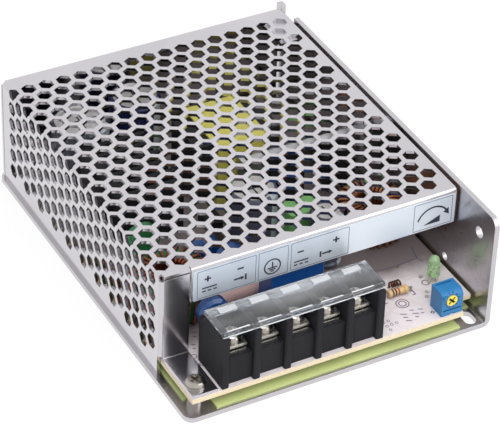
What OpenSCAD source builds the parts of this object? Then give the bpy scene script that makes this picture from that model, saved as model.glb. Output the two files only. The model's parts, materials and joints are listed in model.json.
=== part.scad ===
// Enclosed power supply: folded chassis, perforated folded cover and a board with a barrier terminal block.
// Millimetres. X to the right, Y to the rear, Z up. The origin is the middle of the base's underside.

/* [Case] */
// Overall width of the case
case_w = 98; // [96:0.5:112]
// Overall depth of the case, front to rear
case_l = 128; // [126:0.5:150]
// Height of the chassis side wall
case_h = 38; // [37:0.5:46]
// Thickness of the chassis sheet
base_t = 1.5; // [1.2:0.1:2]
// Inside radius of the chassis bends
bend_r = 0.8; // [0.4:0.1:1.2]
// Rounding of the chassis corners
corner_r = 3; // [1:0.5:4]

/* [Chassis holes and tab] */
// Diameter of the side wall's upper fixing hole
wall_hole_d = 3.7; // [3.2:0.1:5]
// Upper fixing hole, distance from the front edge
wall_hole_y = 7.4; // [6:0.2:12]
// Upper fixing hole, height above the base's underside
wall_hole_z = 29.2; // [26:0.2:31]
// Diameter of the side wall's lower fixing hole
wall_pilot_d = 2.6; // [2.2:0.1:3.6]
// Lower fixing hole, distance from the front edge
wall_pilot_y = 23.3; // [22:0.1:24.8]
// Lower fixing hole, height above the board
wall_pilot_lift = 2.3; // [1.8:0.1:4]
// Width of the slot in the base
slot_w = 3.6; // [3:0.1:4.2]
// End-to-end length of the slot in the base
slot_l = 5.8; // [4.5:0.1:6]
// Slot centre, distance from the right edge
slot_x = 4.8; // [4.8:0.1:5.5]
// Slot centre, distance from the front edge
slot_y = 4; // [3.6:0.1:4.2]
// Length of the tab that the side wall turns in under the cover
wall_tab_l = 16; // [12:0.5:18]
// Length of the fold that joins that tab to the wall
wall_neck_l = 7.2; // [6:0.1:9]
// Reach of that tab from the wall's outer face
wall_tab_w = 10.5; // [9:0.5:14]
// Gap between the wall and the tab's free front part
wall_tab_gap = 3.3; // [2.8:0.1:4]
// Rounding of the side wall's rear top corner
wall_rear_r = 0.8; // [0.4:0.1:3]

/* [Cover] */
// Thickness of the cover sheet
cover_t = 1; // [0.8:0.1:1.2]
// Inside radius of the cover's bends
cover_bend_r = 0.3; // [0.2:0.1:0.6]
// Base edge that shows beyond the cover's left wall
cover_edge = 0.9; // [0.5:0.1:2]
// Drop of the cover's top below the side wall's top
cover_drop = 0.9; // [0.4:0.1:1.5]
// Gap between the cover and the side wall
cover_gap = 0.7; // [0.3:0.1:1.2]
// Base that shows behind the cover
cover_rear = 1.9; // [1.5:0.1:3]
// Depth of the open front bay
bay_l = 19.3; // [18.8:0.1:21]
// Height of the front strip
strip_h = 11.9; // [8:0.1:11.9]
// Width of the front flange, from the left wall
flange_w = 9.2; // [8.6:0.1:10]
// Gap between flange and strip
flange_gap = 0.5; // [0.3:0.1:1]
// Relief at the corners where two bends meet
corner_relief = 0.4; // [0.2:0.1:0.8]

/* [Perforation] */
// Distance between neighbouring holes
hole_pitch = 5.7; // [5:0.1:7]
// Size of a hole across its flats
hole_flats = 4.2; // [3:0.1:4.4]
// Least sheet left behind the rear row's centres
rear_margin = 8; // [5:0.5:12]
// Least sheet left before the front row's centres
front_margin = 4.6; // [4:0.2:8]
// Least sheet left beside the right column's centres
right_margin = 3.4; // [3:0.2:6]
// Least sheet left under the lowest centres of the left wall
foot_margin = 6.5; // [5:0.5:10]

/* [Board] */
// Thickness of the circuit board
board_t = 1.6; // [1.2:0.1:2]
// Height of the standoffs
board_lift = 4.1; // [3:0.1:5]
// Gap between the board and the cover's left wall
board_gap = 0.2; // [0.2:0.1:0.4]
// Gap between the board and the side wall
board_gap_right = 0.9; // [0.5:0.1:1.5]
// Distance of the board's front edge behind the base's front edge
board_front = 1.2; // [0.8:0.1:1.3]
// Gap between the board and the cover's rear wall
board_gap_rear = 2.1; // [1:0.1:3]
// Width of the notch at the board's front right corner
notch_w = 6.2; // [5.8:0.1:6.4]
// Depth of that notch
notch_l = 6; // [5.6:0.1:7]
// Thickness of the insulating sheet
sheet_t = 0.5; // [0.3:0.1:1]
// Cut-back of the insulating sheet at its front corners
sheet_cut = 7; // [6.6:0.1:8]
// Diameter of a standoff
standoff_d = 4.4; // [4:0.1:6.4]
// Nominal diameter of the board screws
screw_d = 2.5; // [2:0.1:3]
// Diameter of a board screw's washer
washer_d = 6; // [5.6:0.1:6.2]
// Diameter of a board screw's head
head_d = 4.4; // [4:0.1:5.4]
// Radial clearance of a screw in its thread
thread_fit = 0.05; // [0.02:0.01:0.1]
// Radial clearance of a screw in a plain hole
hole_fit = 0.2; // [0.1:0.05:0.3]

/* [Terminal block] */
// Distance between neighbouring poles
pole_pitch = 9.8; // [9.5:0.1:10.2]
// Thickness of a barrier between poles
barrier_t = 2.2; // [1.6:0.1:2.4]
// Thickness of the block's end walls
end_wall_t = 1.1; // [1:0.1:1.6]
// Distance of the block from the cover's front flange
block_gap = 1.3; // [0.5:0.1:3]
// Distance of the block's front behind the board's front edge
block_setback = 0.2; // [0:0.1:0.5]
// Depth of the block
block_d = 14.5; // [14.3:0.1:15]
// Height of the floor that the terminal plates lie on
floor_h = 9; // [7:0.1:9.2]
// Height of the barriers above that floor
barrier_h = 8.8; // [8:0.1:9]
// Depth of the step between the barriers' fronts and the faces between them
face_step = 1.5; // [1:0.1:2]
// Thickness of the block's rear wall
rear_wall_t = 1.2; // [1:0.1:1.4]
// Distance of the poles' screws behind the block's front
pole_setback = 6.6; // [6.4:0.1:7]
// Chamfer on the barriers' front edges
barrier_chamfer = 0.4; // [0.2:0.1:0.6]

/* [Terminals] */
// Thickness of a terminal plate
plate_t = 0.9; // [0.8:0.1:1.2]
// Width of a terminal plate
plate_w = 5.4; // [5:0.1:7]
// Length of a terminal plate
plate_l = 7.8; // [7.2:0.1:8]
// Thickness of a clamp washer
clamp_t = 0.9; // [0.6:0.1:1.2]
// Side of a clamp washer
clamp_w = 6.4; // [6:0.1:7]
// Diameter of a terminal screw
terminal_screw_d = 3.5; // [3:0.1:3.5]
// Diameter of a terminal screw's head
terminal_head_d = 5.4; // [5:0.1:6.2]
// Height of a terminal screw's head
terminal_head_h = 2; // [1.6:0.1:2.2]
// Length of a terminal screw below its head
terminal_screw_l = 8; // [6:0.1:8]
// Gap under a clamp washer whose screw is backed off, as the part is drawn
clamp_rest = 0.5; // [0.1:0.1:0.6]
// Gap between pieces of a terminal that move on each other
seat_gap = 0.05; // [0.03:0.01:0.1]

/* [Terminal lid] */
// Thickness of the lid
lid_t = 1.4; // [1:0.1:1.6]
// Gap between the lid and the barriers
lid_gap = 0.3; // [0.3:0.1:0.6]
// Gap between the lid's hinge barrel and the end walls
lid_side = 0.25; // [0.2:0.05:0.4]
// Height of the lip along the lid's front
lip_h = 2.1; // [1.6:0.1:2.4]
// Thickness of that lip
lip_t = 1.4; // [1:0.1:2]
// Radius of the lid's hinge barrel
barrel_r = 1.1; // [1:0.1:1.2]
// Drop of the hinge axis below the lid's underside
hinge_drop = 1.3; // [1.2:0.1:1.5]
// Diameter of the lid's hinge pins
pin_d = 1.2; // [1:0.1:1.2]
// Reach of a hinge pin into its end wall
pin_reach = 0.8; // [0.6:0.1:0.9]
// Radial clearance of a hinge pin
pin_fit = 0.05; // [0.02:0.01:0.1]
// Height of the lid's raised marker pads
pad_h = 0.4; // [0.2:0.1:0.6]
// Length of a marker pad
pad_l = 5.4; // [4:0.1:6]
// Width of a marker pad
pad_w = 2; // [1.4:0.1:2.2]

/* [Trimmer and lamp] */
// Width of the trimmer
trim_w = 7; // [6:0.1:7]
// Depth of the trimmer
trim_d = 6.1; // [5.5:0.1:6.5]
// Height of the trimmer
trim_h = 7.8; // [7:0.1:9]
// Distance of the trimmer's front behind the board's front edge
trim_setback = 0.6; // [0.4:0.1:1]
// Rounding of the trimmer's top front edge
trim_round = 2; // [1:0.1:2]
// Diameter of the trimmer's rotor
rotor_d = 3.5; // [3:0.1:4]
// Height of the rotor's axis above the board
rotor_z = 5.1; // [4.8:0.1:5.2]
// Depth of the rotor in the trimmer
rotor_l = 2.6; // [2:0.1:3]
// Rotor that stands proud of the trimmer's front
rotor_proud = 0.2; // [0.1:0.1:0.4]
// Radial clearance of the rotor
rotor_fit = 0.05; // [0.02:0.01:0.1]
// Diameter of the lamp's rim
lamp_d = 3.9; // [3.4:0.1:5]
// Diameter of the lamp's dome
dome_d = 3.2; // [2.6:0.1:3.3]
// Height of the lamp from rim to tip
lamp_h = 6.6; // [5:0.1:8]
// Height of the lamp above the board
lamp_lift = 3; // [2:0.1:4]
// Distance of the lamp from the board's right edge
lamp_x = 7; // [6:0.1:8]
// Distance of the lamp from the board's front edge
lamp_y = 15.7; // [14:0.1:17]

/* [Inner parts] */
// Width of the transformer's winding
winding_w = 23; // [18:0.5:24]
// Length of the transformer's winding
winding_l = 17; // [12:0.5:18]
// Height of the transformer's core
core_h = 20.8; // [18:0.2:24]
// Thickness of the transformer core's yokes and legs
core_leg = 5.5; // [4:0.5:6]
// Height of the heatsink bracket
sink_h = 20.8; // [18:0.2:24]
// Thickness of the heatsink bracket
sink_t = 1.5; // [1:0.1:2]
// Diameter of the input capacitor
input_cap_d = 18; // [14:0.5:18]
// Height of the input capacitor
input_cap_h = 22; // [18:0.5:26]
// Diameter of the second capacitor
second_cap_d = 16; // [12:0.5:16]
// Height of the second capacitor
second_cap_h = 20; // [16:0.5:25]
// Diameter of the output capacitor
output_cap_d = 15; // [12:0.5:16]
// Height of the output capacitor
output_cap_h = 19; // [14:0.5:20]
// Diameter of the small output capacitor
small_cap_d = 10; // [8:0.5:10]
// Height of the small output capacitor
small_cap_h = 18; // [12:0.5:20]
// Outside diameter of the output choke's core
output_core_d = 18.5; // [16:0.5:20]
// Outside diameter of the line choke's core
line_core_d = 21; // [18:0.5:22]
// Hole diameter of both choke cores
core_bore_d = 11; // [10:0.5:12]
// Height of the output choke's core
output_core_h = 10; // [7:0.5:11]
// Height of the line choke's core
line_core_h = 12; // [9:0.5:14]
// Thickness of the choke wire
wire_d = 1; // [0.8:0.1:1.1]
// Number of turns on a choke
choke_turns = 22; // [12:1:24]
// Clearance of the choke wire around its core
wire_fit = 0.1; // [0.05:0.05:0.2]

/* [Hidden] */
$fn = 48;
// Overshoot of cutting tools past the faces that they cut
cut = 0.5;
// Number of poles, one clamp and one screw each
pole_count = 5;

// Case planes
left = -case_w / 2;
right = case_w / 2;
front = -case_l / 2;
rear = case_l / 2;
wall_in = right - base_t;

// Cover planes
cover_bend = cover_t + cover_bend_r;
cover_x0 = left + cover_edge;
cover_x1 = wall_in - cover_gap;
cover_y0 = front + bay_l;
cover_y1 = rear - cover_rear;
cover_top = case_h - cover_drop;
cover_under = cover_top - cover_t;
strip_x0 = cover_x0 + flange_w + flange_gap;
flange_top = cover_under - corner_relief;

// Board planes
board_z = base_t + board_lift;
board_top = board_z + board_t;
board_x0 = cover_x0 + cover_t + board_gap;
board_x1 = wall_in - board_gap_right;
board_y0 = front + board_front;
board_y1 = cover_y1 - cover_t - board_gap_rear;
standoff_edge = 3.1;
standoff_spots = [
    [board_x0 + standoff_edge, board_y0 + 4.5],
    [board_x0 + 5, board_y1 - 4.5],
    [board_x1 - 4.5, board_y1 - 4.5],
    [board_x1 - 4.2, cover_y0 + 0.387 * (board_y1 - cover_y0)]
];

// Tab of the cover that the front left board screw holds
cover_tab_y0 = board_y0 + 0.2;

// Perforation grid
row_pitch = hole_pitch * sqrt(3) / 2;
hole_r = hole_flats / sqrt(3);
row_count = floor((cover_y1 - rear_margin - cover_y0 - front_margin) / row_pitch) + 1;
col_count = floor((cover_x1 - right_margin - cover_x0) / hole_pitch);
down_count = floor((cover_top - base_t - foot_margin) / hole_pitch);

// Terminal block planes
block_w = pole_count * pole_pitch + 2 * end_wall_t;
block_x0 = cover_x0 + flange_w + block_gap;
block_x1 = block_x0 + block_w;
block_y0 = board_y0 + block_setback;
block_y1 = block_y0 + block_d;
floor_z = board_top + floor_h;
barrier_top = floor_z + barrier_h;
lid_under = barrier_top + lid_gap;
lid_top = lid_under + lid_t;
hinge_z = lid_under - hinge_drop;
barrel_gap = 0.35;
hinge_y = block_y1 - rear_wall_t - barrel_gap - barrel_r;
rear_top = hinge_z - 1;
barrel_x0 = block_x0 + end_wall_t + lid_side;
barrel_x1 = block_x1 - end_wall_t - lid_side;
lid_x0 = block_x0 + 0.15;
lid_x1 = block_x1 - 0.15;
lid_y0 = block_y0 + 0.5;
lip_seat_y = lid_y0 + lip_t + lid_gap;
lip_seat_z = lid_top - lip_h - lid_gap;
pole_x = [for (i = [0:pole_count - 1]) block_x0 + end_wall_t + pole_pitch * (i + 0.5)];
pole_y = block_y0 + pole_setback;
plate_y0 = block_y0 + face_step + 1.4;
clamp_z = floor_z + plate_t + clamp_rest;
head_z = clamp_z + clamp_t + seat_gap;

// Places of the trimmer and the lamp
trim_x1 = board_x1 - notch_w - 0.2;
trim_x0 = trim_x1 - trim_w;
trim_y0 = board_y0 + trim_setback;
rotor_x = (trim_x0 + trim_x1) / 2 - 0.3;
lamp_pos = [board_x1 - lamp_x, board_y0 + lamp_y];
lead_d = 0.6;
lead_pitch = 2.54;

// Room that the inner parts share behind the strip, and the room that their sizes are drawn for
room_w = board_x1 - board_x0;
room_l = board_y1 - cover_y0;
drawn_w = 93.5;
drawn_l = 103.7;
// Scale at which they fit a smaller case
fit = min(1, room_w / drawn_w, room_l / drawn_l);

// Place on the board at a share of that room's width and length
function place(u, v) = [board_x0 + u * room_w, cover_y0 + v * room_l];

// Places of the inner parts
transformer = place(0.5925, 0.6625);
sink_x0 = place(0.5401, 0).x;
sink_x1 = place(0.9893, 0).x;
sink_y = place(0, 0.5111).y;
sink_flange = 4.4;
transistor_x = [place(0.7048, 0).x, place(0.893, 0).x];
output_choke = place(0.8824, 0.2633);
line_choke = place(0.1337, 0.2025);
input_cap = place(0.1711, 0.8467);
second_cap = place(0.4053, 0.918);
output_cap = place(0.5198, 0.3732);
small_cap = place(0.6749, 0.1977);
film_size = [11, 7.5, 14];
film_pos = place(0.6492, 0.296);
box_size = [17, 8, 15.5];
box_pos = place(0.4738, 0.0675);
disc_d = 9.6;
disc_t = 4;
disc_lift = 4.5;
disc_spots = [place(0.185, 0.0386), place(0.2995, 0.2854), place(0.3529, 0.2218)];
surge_d = 11;
surge_pos = place(0.1476, 0.3954);
bridge_size = [3.6, 15, 11];
bridge_pos = place(0.107, 0.6249);
sink_plate = 2.5;
fin_count = 6;
fin_size = [18, 1.6, 19];
fin_pitch = 5.2;
fuse_d = 5;
fuse_l = 20;
fuse_pos = place(0.3572, 0.1466);
chip_pos = place(0.3679, 0.3828);
opto_pos = place(0.4374, 0.4822);

// Transformer sizes that its core and its winding share
core_side = 3.5;
core_w = winding_w - 2 * core_side;
core_lift = 3;
yoke_h = core_leg * 0.8;
window_h = core_h - core_lift - 2 * yoke_h;

// Waste of a square corner at the origin that leaves a round of radius r
module corner_waste(r) {
    difference() {
        translate([-cut, -cut]) square(r + cut);
        translate([r, r]) circle(r);
    }
}

// Folded sheet in section: legs along +X and +Y from an outer corner at the origin
module fold_section(leg_a, leg_b, t, r) {
    union() {
        if (leg_a > r + t) translate([r + t, 0]) square([leg_a - r - t, t]);
        if (leg_b > r + t) translate([0, r + t]) square([t, leg_b - r - t]);
        bend_section(t, r);
    }
}

// The bend alone, from the same outer corner
module bend_section(t, r) {
    intersection() {
        translate([r + t, r + t]) difference() {
            circle(r + t);
            circle(r);
        }
        square(r + t);
    }
}

// Sweeps a section that is drawn in X and Z along Y, from y0 to y1
module along_y(y0, y1) {
    translate([0, y1, 0]) rotate([90, 0, 0]) linear_extrude(y1 - y0) children();
}

// Sweeps a section that is drawn in Y and Z along X, from x0 to x1
module along_x(x0, x1) {
    translate([x0, 0, 0]) rotate([90, 0, 90]) linear_extrude(x1 - x0) children();
}

// Round can with a rolled neck and a scored top, standing on the board
module can(d, h, neck) {
    score_t = 0.4;
    difference() {
        rotate_extrude() polygon([
            [0, 0], [d / 2 - 0.6, 0], [d / 2, 0.6], [d / 2, neck], [d / 2 - 0.5, neck + 0.6],
            [d / 2, neck + 1.2], [d / 2, h - 0.8], [d / 2 - 0.8, h], [d / 2 - 1.6, h],
            [d / 2 - 1.9, h - 0.3], [0, h - 0.3]
        ]);
        for (turn = [0, 90]) rotate(turn)
            translate([-d / 4, -score_t / 2, h - 0.6]) cube([d / 2, score_t, 1]);
    }
}

// Coated disc on two straight leads, its face looking to the front
module disc_part(d, t, lift) {
    translate([0, 0, lift + d / 2]) rotate([90, 0, 0]) rotate_extrude() polygon([
        [0, -t / 2], [d / 2 - 1, -t / 2], [d / 2, -t / 2 + 1],
        [d / 2, t / 2 - 1], [d / 2 - 1, t / 2], [0, t / 2]
    ]);
    for (side = [-1, 1]) translate([side * d / 4, 0, 0]) cylinder(d = lead_d, h = lift + d / 4);
}

// Pan screw with its seat at z = 0 and a cross recess
module pan_screw(d, l, head, head_h, recess_w) {
    round_h = head_h * 0.4;
    difference() {
        union() {
            translate([0, 0, -l]) cylinder(d = d, h = l + 0.1);
            rotate_extrude() polygon([
                [0, 0], [head / 2, 0], [head / 2, head_h - round_h],
                [head / 2 - round_h * 0.5, head_h - 0.3 * round_h],
                [head / 2 - round_h, head_h], [0, head_h]
            ]);
        }
        for (turn = [0, 90]) rotate(turn)
            translate([-head * 0.32, -recess_w / 2, head_h * 0.45]) cube([head * 0.64, recess_w, head_h]);
    }
}

// One turn of choke wire, a round-cornered flat ring around a core's section
module choke_turn(core_w, core_h) {
    inner_w = core_w + 2 * wire_fit;
    inner_h = core_h + 2 * wire_fit;
    rotate([90, 0, 0]) linear_extrude(wire_d, center = true) difference() {
        translate([-inner_w / 2 - wire_d, -inner_h / 2 - wire_d]) difference() {
            square([inner_w + 2 * wire_d, inner_h + 2 * wire_d]);
            for (sx = [0, 1], sy = [0, 1])
                translate([sx * (inner_w + 2 * wire_d), sy * (inner_h + 2 * wire_d)])
                    mirror([sx, 0]) mirror([0, sy]) corner_waste(wire_d);
        }
        translate([-inner_w / 2, -inner_h / 2]) square([inner_w, inner_h]);
    }
}

// Ring of wire turns around a flat-lying core, standing on the board
module choke_winding(core_d, core_h) {
    core_w = (core_d - core_bore_d) / 2;
    for (i = [0:choke_turns - 1]) rotate(360 * (i + 0.5) / choke_turns)
        translate([(core_d + core_bore_d) / 4, 0, core_h / 2 + wire_d + wire_fit]) choke_turn(core_w, core_h);
}

module choke_core(core_d, core_h) {
    translate([0, 0, wire_d + wire_fit]) difference() {
        cylinder(d = core_d, h = core_h);
        translate([0, 0, -cut]) cylinder(d = core_bore_d, h = core_h + 2 * cut);
    }
}

module chassis() {
    tab_y1 = cover_y1 - cover_t - 0.6;
    tab_y0 = tab_y1 - wall_tab_l;
    neck_y0 = tab_y1 - wall_neck_l;
    tab_x0 = right - wall_tab_w;
    tab_bend = bend_r + base_t;
    notch_z = cover_under - tab_bend - 4;
    color("silver") difference() {
        union() {
            difference() {
                along_y(front, rear) translate([right, 0]) mirror([1, 0])
                    fold_section(case_w, case_h, base_t, bend_r);
                translate([wall_in - cut, neck_y0 - corner_relief, notch_z])
                    cube([base_t + 2 * cut, wall_neck_l + 2 * corner_relief, case_h]);
            }
            along_y(neck_y0, tab_y1) translate([right, cover_under]) mirror([1, 0]) mirror([0, 1])
                fold_section(wall_tab_w, cover_under - notch_z, base_t, bend_r);
            // Free front part of the tab
            translate([tab_x0, tab_y0, cover_under - base_t])
                cube([wall_in - wall_tab_gap - tab_x0, wall_tab_l, base_t]);
        }
        // Rounded corners of the base's left edge
        translate([left, front, -cut]) linear_extrude(base_t + 2 * cut) corner_waste(corner_r);
        translate([left, rear, -cut]) linear_extrude(base_t + 2 * cut) mirror([0, 1]) corner_waste(corner_r);
        // Rounded top corners of the side wall
        along_x(wall_in - cut, right + cut) translate([front, case_h]) mirror([0, 1]) corner_waste(corner_r);
        along_x(wall_in - cut, right + cut) translate([rear, case_h])
            mirror([1, 0]) mirror([0, 1]) corner_waste(wall_rear_r);
        // Fixing holes
        translate([wall_in - cut, front + wall_hole_y, wall_hole_z])
            rotate([0, 90, 0]) cylinder(d = wall_hole_d, h = base_t + 2 * cut);
        translate([wall_in - cut, front + wall_pilot_y, board_top + wall_pilot_lift])
            rotate([0, 90, 0]) cylinder(d = wall_pilot_d, h = base_t + 2 * cut);
        translate([right - slot_x, front + slot_y, -cut]) linear_extrude(base_t + 2 * cut) slot_outline();
    }
}

module slot_outline() {
    reach = (slot_l - slot_w) / 2;
    union() {
        for (side = [-1, 1]) translate([0, side * reach]) circle(d = slot_w);
        translate([-slot_w / 2, -reach]) square([slot_w, 2 * reach]);
    }
}

// Hexagons with points to the front and rear, in staggered rows on the cover's top
module top_holes() {
    for (row = [0:row_count - 1]) {
        shift = row % 2 == 0 ? 0 : 0.5;
        for (col = [1:col_count])
            translate([cover_x0 + (col - shift) * hole_pitch, hole_y(row)])
                rotate(90) circle(hole_r, $fn = 6);
    }
}

// The same rows run on down the left wall
module side_holes() {
    for (row = [0:row_count - 1]) {
        shift = row % 2 == 0 ? 0 : 0.5;
        for (down = [1:down_count])
            translate([hole_y(row), cover_top - (down - shift) * hole_pitch]) circle(hole_r, $fn = 6);
    }
}

// Holes of the even rows that were punched across the fold line of the top and the left wall
module fold_holes() {
    half = hole_flats / 2 / sqrt(2);
    depth = cover_t * sqrt(2) + half + cut;
    for (row = [0:2:row_count - 1])
        translate([cover_x0, hole_y(row), cover_top]) rotate([0, -45, 0]) translate([0, 0, -depth])
            linear_extrude(2 * depth) polygon([
                [0, hole_r], [half, hole_r / 2], [half, -hole_r / 2],
                [0, -hole_r], [-half, -hole_r / 2], [-half, hole_r / 2]
            ]);
}

// Holes of the odd rows, which reach into the bend from either side
module edge_holes() {
    for (row = [1:2:row_count - 1]) translate([cover_x0, hole_y(row), cover_top]) {
        translate([hole_pitch / 2, 0, -cover_t - cut]) rotate(90)
            cylinder(r = hole_r, h = cover_t + 2 * cut, $fn = 6);
        translate([-cut, 0, -hole_pitch / 2]) rotate([0, 90, 0]) rotate(90)
            cylinder(r = hole_r, h = cover_t + 2 * cut, $fn = 6);
    }
}

function hole_y(row) = cover_y1 - rear_margin - row * row_pitch;

// Top and left wall with the bend that joins them
module cover_shell() {
    y0 = cover_y0 + cover_bend;
    y1 = cover_y1 - cover_bend;
    wall_z1 = cover_top - cover_bend;
    translate([0, 0, cover_under]) linear_extrude(cover_t) difference() {
        union() {
            translate([cover_x0 + cover_bend, y0]) square([cover_x1 - cover_x0 - cover_bend, y1 - y0]);
            // Front edge beside the strip
            translate([cover_x0 + cover_bend, cover_y0])
                square([strip_x0 - corner_relief - cover_x0 - cover_bend, cover_bend + cut]);
        }
        top_holes();
    }
    along_x(cover_x0, cover_x0 + cover_t) difference() {
        translate([y0, base_t]) square([y1 - y0, wall_z1 - base_t]);
        side_holes();
    }
    difference() {
        along_y(y0 + corner_relief, y1) translate([cover_x0, cover_top]) mirror([0, 1])
            bend_section(cover_t, cover_bend_r);
        edge_holes();
    }
}

module cover() {
    wall_h = cover_top - base_t;
    tab_l = cover_y0 + cover_t - cover_tab_y0;
    spot = standoff_spots[0];
    color("gainsboro") difference() {
        union() {
            cover_shell();
            // Front strip
            along_x(strip_x0, cover_x1) translate([cover_y0, cover_top]) mirror([0, 1])
                fold_section(cover_bend, strip_h, cover_t, cover_bend_r);
            // Rear wall
            along_x(cover_x0 + cover_bend, cover_x1) translate([cover_y1, cover_top])
                mirror([1, 0]) mirror([0, 1]) fold_section(cover_bend, wall_h, cover_t, cover_bend_r);
            translate([cover_x0, cover_y1 - cover_t, base_t])
                cube([cover_bend, cover_t, wall_h - cover_bend - corner_relief]);
            // Front flange and its screw tab on the board
            along_x(cover_x0 + cover_bend, cover_x0 + flange_w) translate([cover_y0 + cover_t, board_top])
                mirror([1, 0]) fold_section(tab_l, flange_top - board_top, cover_t, cover_bend_r);
            translate([cover_x0, cover_y0, board_top + cover_bend + corner_relief])
                linear_extrude(flange_top - board_top - cover_bend - corner_relief)
                    bend_section(cover_t, cover_bend_r);
        }
        // Relief where the front flange, the top and the left wall meet
        translate([cover_x0 - cut, cover_y0 - cut, flange_top - cover_bend_r])
            cube([cover_bend + cut, cover_bend + corner_relief + cut, cover_t + cover_bend + cut]);
        fold_holes();
        translate([spot.x, spot.y, board_top - cut])
            cylinder(r = screw_d / 2 + hole_fit, h = cover_t + 2 * cut);
    }
}

module insulating_sheet() {
    x0 = board_x0 + 0.6;
    x1 = wall_in - bend_r - 0.1;
    y0 = board_y0 - 0.2;
    color("yellowgreen") translate([0, 0, base_t]) linear_extrude(sheet_t) difference() {
        translate([x0, y0]) square([x1 - x0, board_y1 - y0]);
        translate([x0 - cut, y0 - cut]) square([sheet_cut + cut, sheet_cut + cut]);
        translate([x1 - sheet_cut, y0 - cut]) square([sheet_cut + cut, sheet_cut + cut]);
        for (spot = standoff_spots) translate(spot) circle(d = standoff_d + 1);
    }
}

module circuit_board() {
    color("tan") translate([0, 0, board_z]) linear_extrude(board_t) difference() {
        translate([board_x0, board_y0]) square([board_x1 - board_x0, board_y1 - board_y0]);
        translate([board_x1 - notch_w, board_y0 - cut]) square([notch_w + cut, notch_l + cut]);
        for (spot = standoff_spots) translate(spot) circle(r = screw_d / 2 + hole_fit);
    }
}

module standoffs() {
    color("lightgray") for (spot = standoff_spots) translate([spot.x, spot.y, base_t]) difference() {
        cylinder(d = standoff_d, h = board_lift);
        translate([0, 0, -cut]) cylinder(r = screw_d / 2 + thread_fit, h = board_lift + 2 * cut);
    }
}

module board_screws() {
    washer_t = 0.6;
    color("silver") for (i = [0:len(standoff_spots) - 1]) {
        seat = board_top + (i == 0 ? cover_t : 0);
        grip = seat - board_z + board_lift * 0.7;
        translate([standoff_spots[i].x, standoff_spots[i].y, seat]) union() {
            cylinder(d = washer_d, h = washer_t);
            translate([0, 0, washer_t]) rotate(20) pan_screw(screw_d, grip + washer_t, head_d, 2, 0.9);
        }
    }
}

module barrier(x) {
    half = barrier_t / 2;
    depth = block_d - rear_wall_t / 2;
    barrel_y = hinge_y - barrel_r - barrel_gap - block_y0;
    translate([x, block_y0, board_top]) difference() {
        linear_extrude(barrier_top - board_top) polygon([
            [-half + barrier_chamfer, 0], [half - barrier_chamfer, 0], [half, barrier_chamfer],
            [half, depth], [-half, depth], [-half, barrier_chamfer]
        ]);
        // Seat for the lid's front lip
        translate([-half - cut, -cut, lip_seat_z - board_top])
            cube([barrier_t + 2 * cut, lip_seat_y - block_y0 + cut, barrier_top]);
        // Room for the lid's hinge barrel
        translate([-half - cut, barrel_y, rear_top - barrel_gap - board_top])
            cube([barrier_t + 2 * cut, block_d, barrier_top]);
    }
}

// End wall, low behind the hinge so that the lid can swing back over it
module end_wall(x) {
    along_x(x, x + end_wall_t) union() {
        translate([block_y0, board_top]) square([block_d, rear_top - board_top]);
        translate([lip_seat_y, board_top]) square([hinge_y - lip_seat_y, barrier_top - board_top]);
        translate([block_y0, board_top]) square([lip_seat_y - block_y0, lip_seat_z - board_top]);
        translate([hinge_y, hinge_z]) circle(barrier_top - hinge_z);
    }
}

module terminal_block() {
    color("dimgray") difference() {
        union() {
            translate([block_x0, block_y0 + face_step, board_top])
                cube([block_w, block_d - face_step, floor_h]);
            translate([block_x0, block_y1 - rear_wall_t, board_top])
                cube([block_w, rear_wall_t, rear_top - board_top]);
            for (i = [0:pole_count]) barrier(block_x0 + end_wall_t + i * pole_pitch);
            end_wall(block_x0);
            end_wall(block_x1 - end_wall_t);
        }
        for (x = pole_x) translate([x, pole_y, head_z - terminal_screw_l - 1])
            cylinder(d = terminal_screw_d + 0.8, h = floor_z - head_z + terminal_screw_l + 1 + cut);
        translate([block_x0 - cut, hinge_y, hinge_z]) rotate([0, 90, 0])
            cylinder(r = pin_d / 2 + pin_fit, h = block_w + 2 * cut);
    }
}

module terminal_plates() {
    color("lightgray") for (x = pole_x) difference() {
        translate([x - plate_w / 2, plate_y0, floor_z]) cube([plate_w, plate_l, plate_t]);
        translate([x, pole_y, floor_z - cut])
            cylinder(r = terminal_screw_d / 2 + thread_fit, h = plate_t + 2 * cut);
    }
}

module clamp(i) {
    color("gainsboro") translate([pole_x[i], pole_y, clamp_z]) difference() {
        translate([-clamp_w / 2, -clamp_w / 2, 0]) cube([clamp_w, clamp_w, clamp_t]);
        translate([0, 0, -cut]) cylinder(r = terminal_screw_d / 2 + thread_fit, h = clamp_t + 2 * cut);
    }
}

module terminal_screw(i) {
    color("silver") translate([pole_x[i], pole_y, head_z])
        pan_screw(terminal_screw_d, terminal_screw_l, terminal_head_d, terminal_head_h, 1);
}

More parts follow.
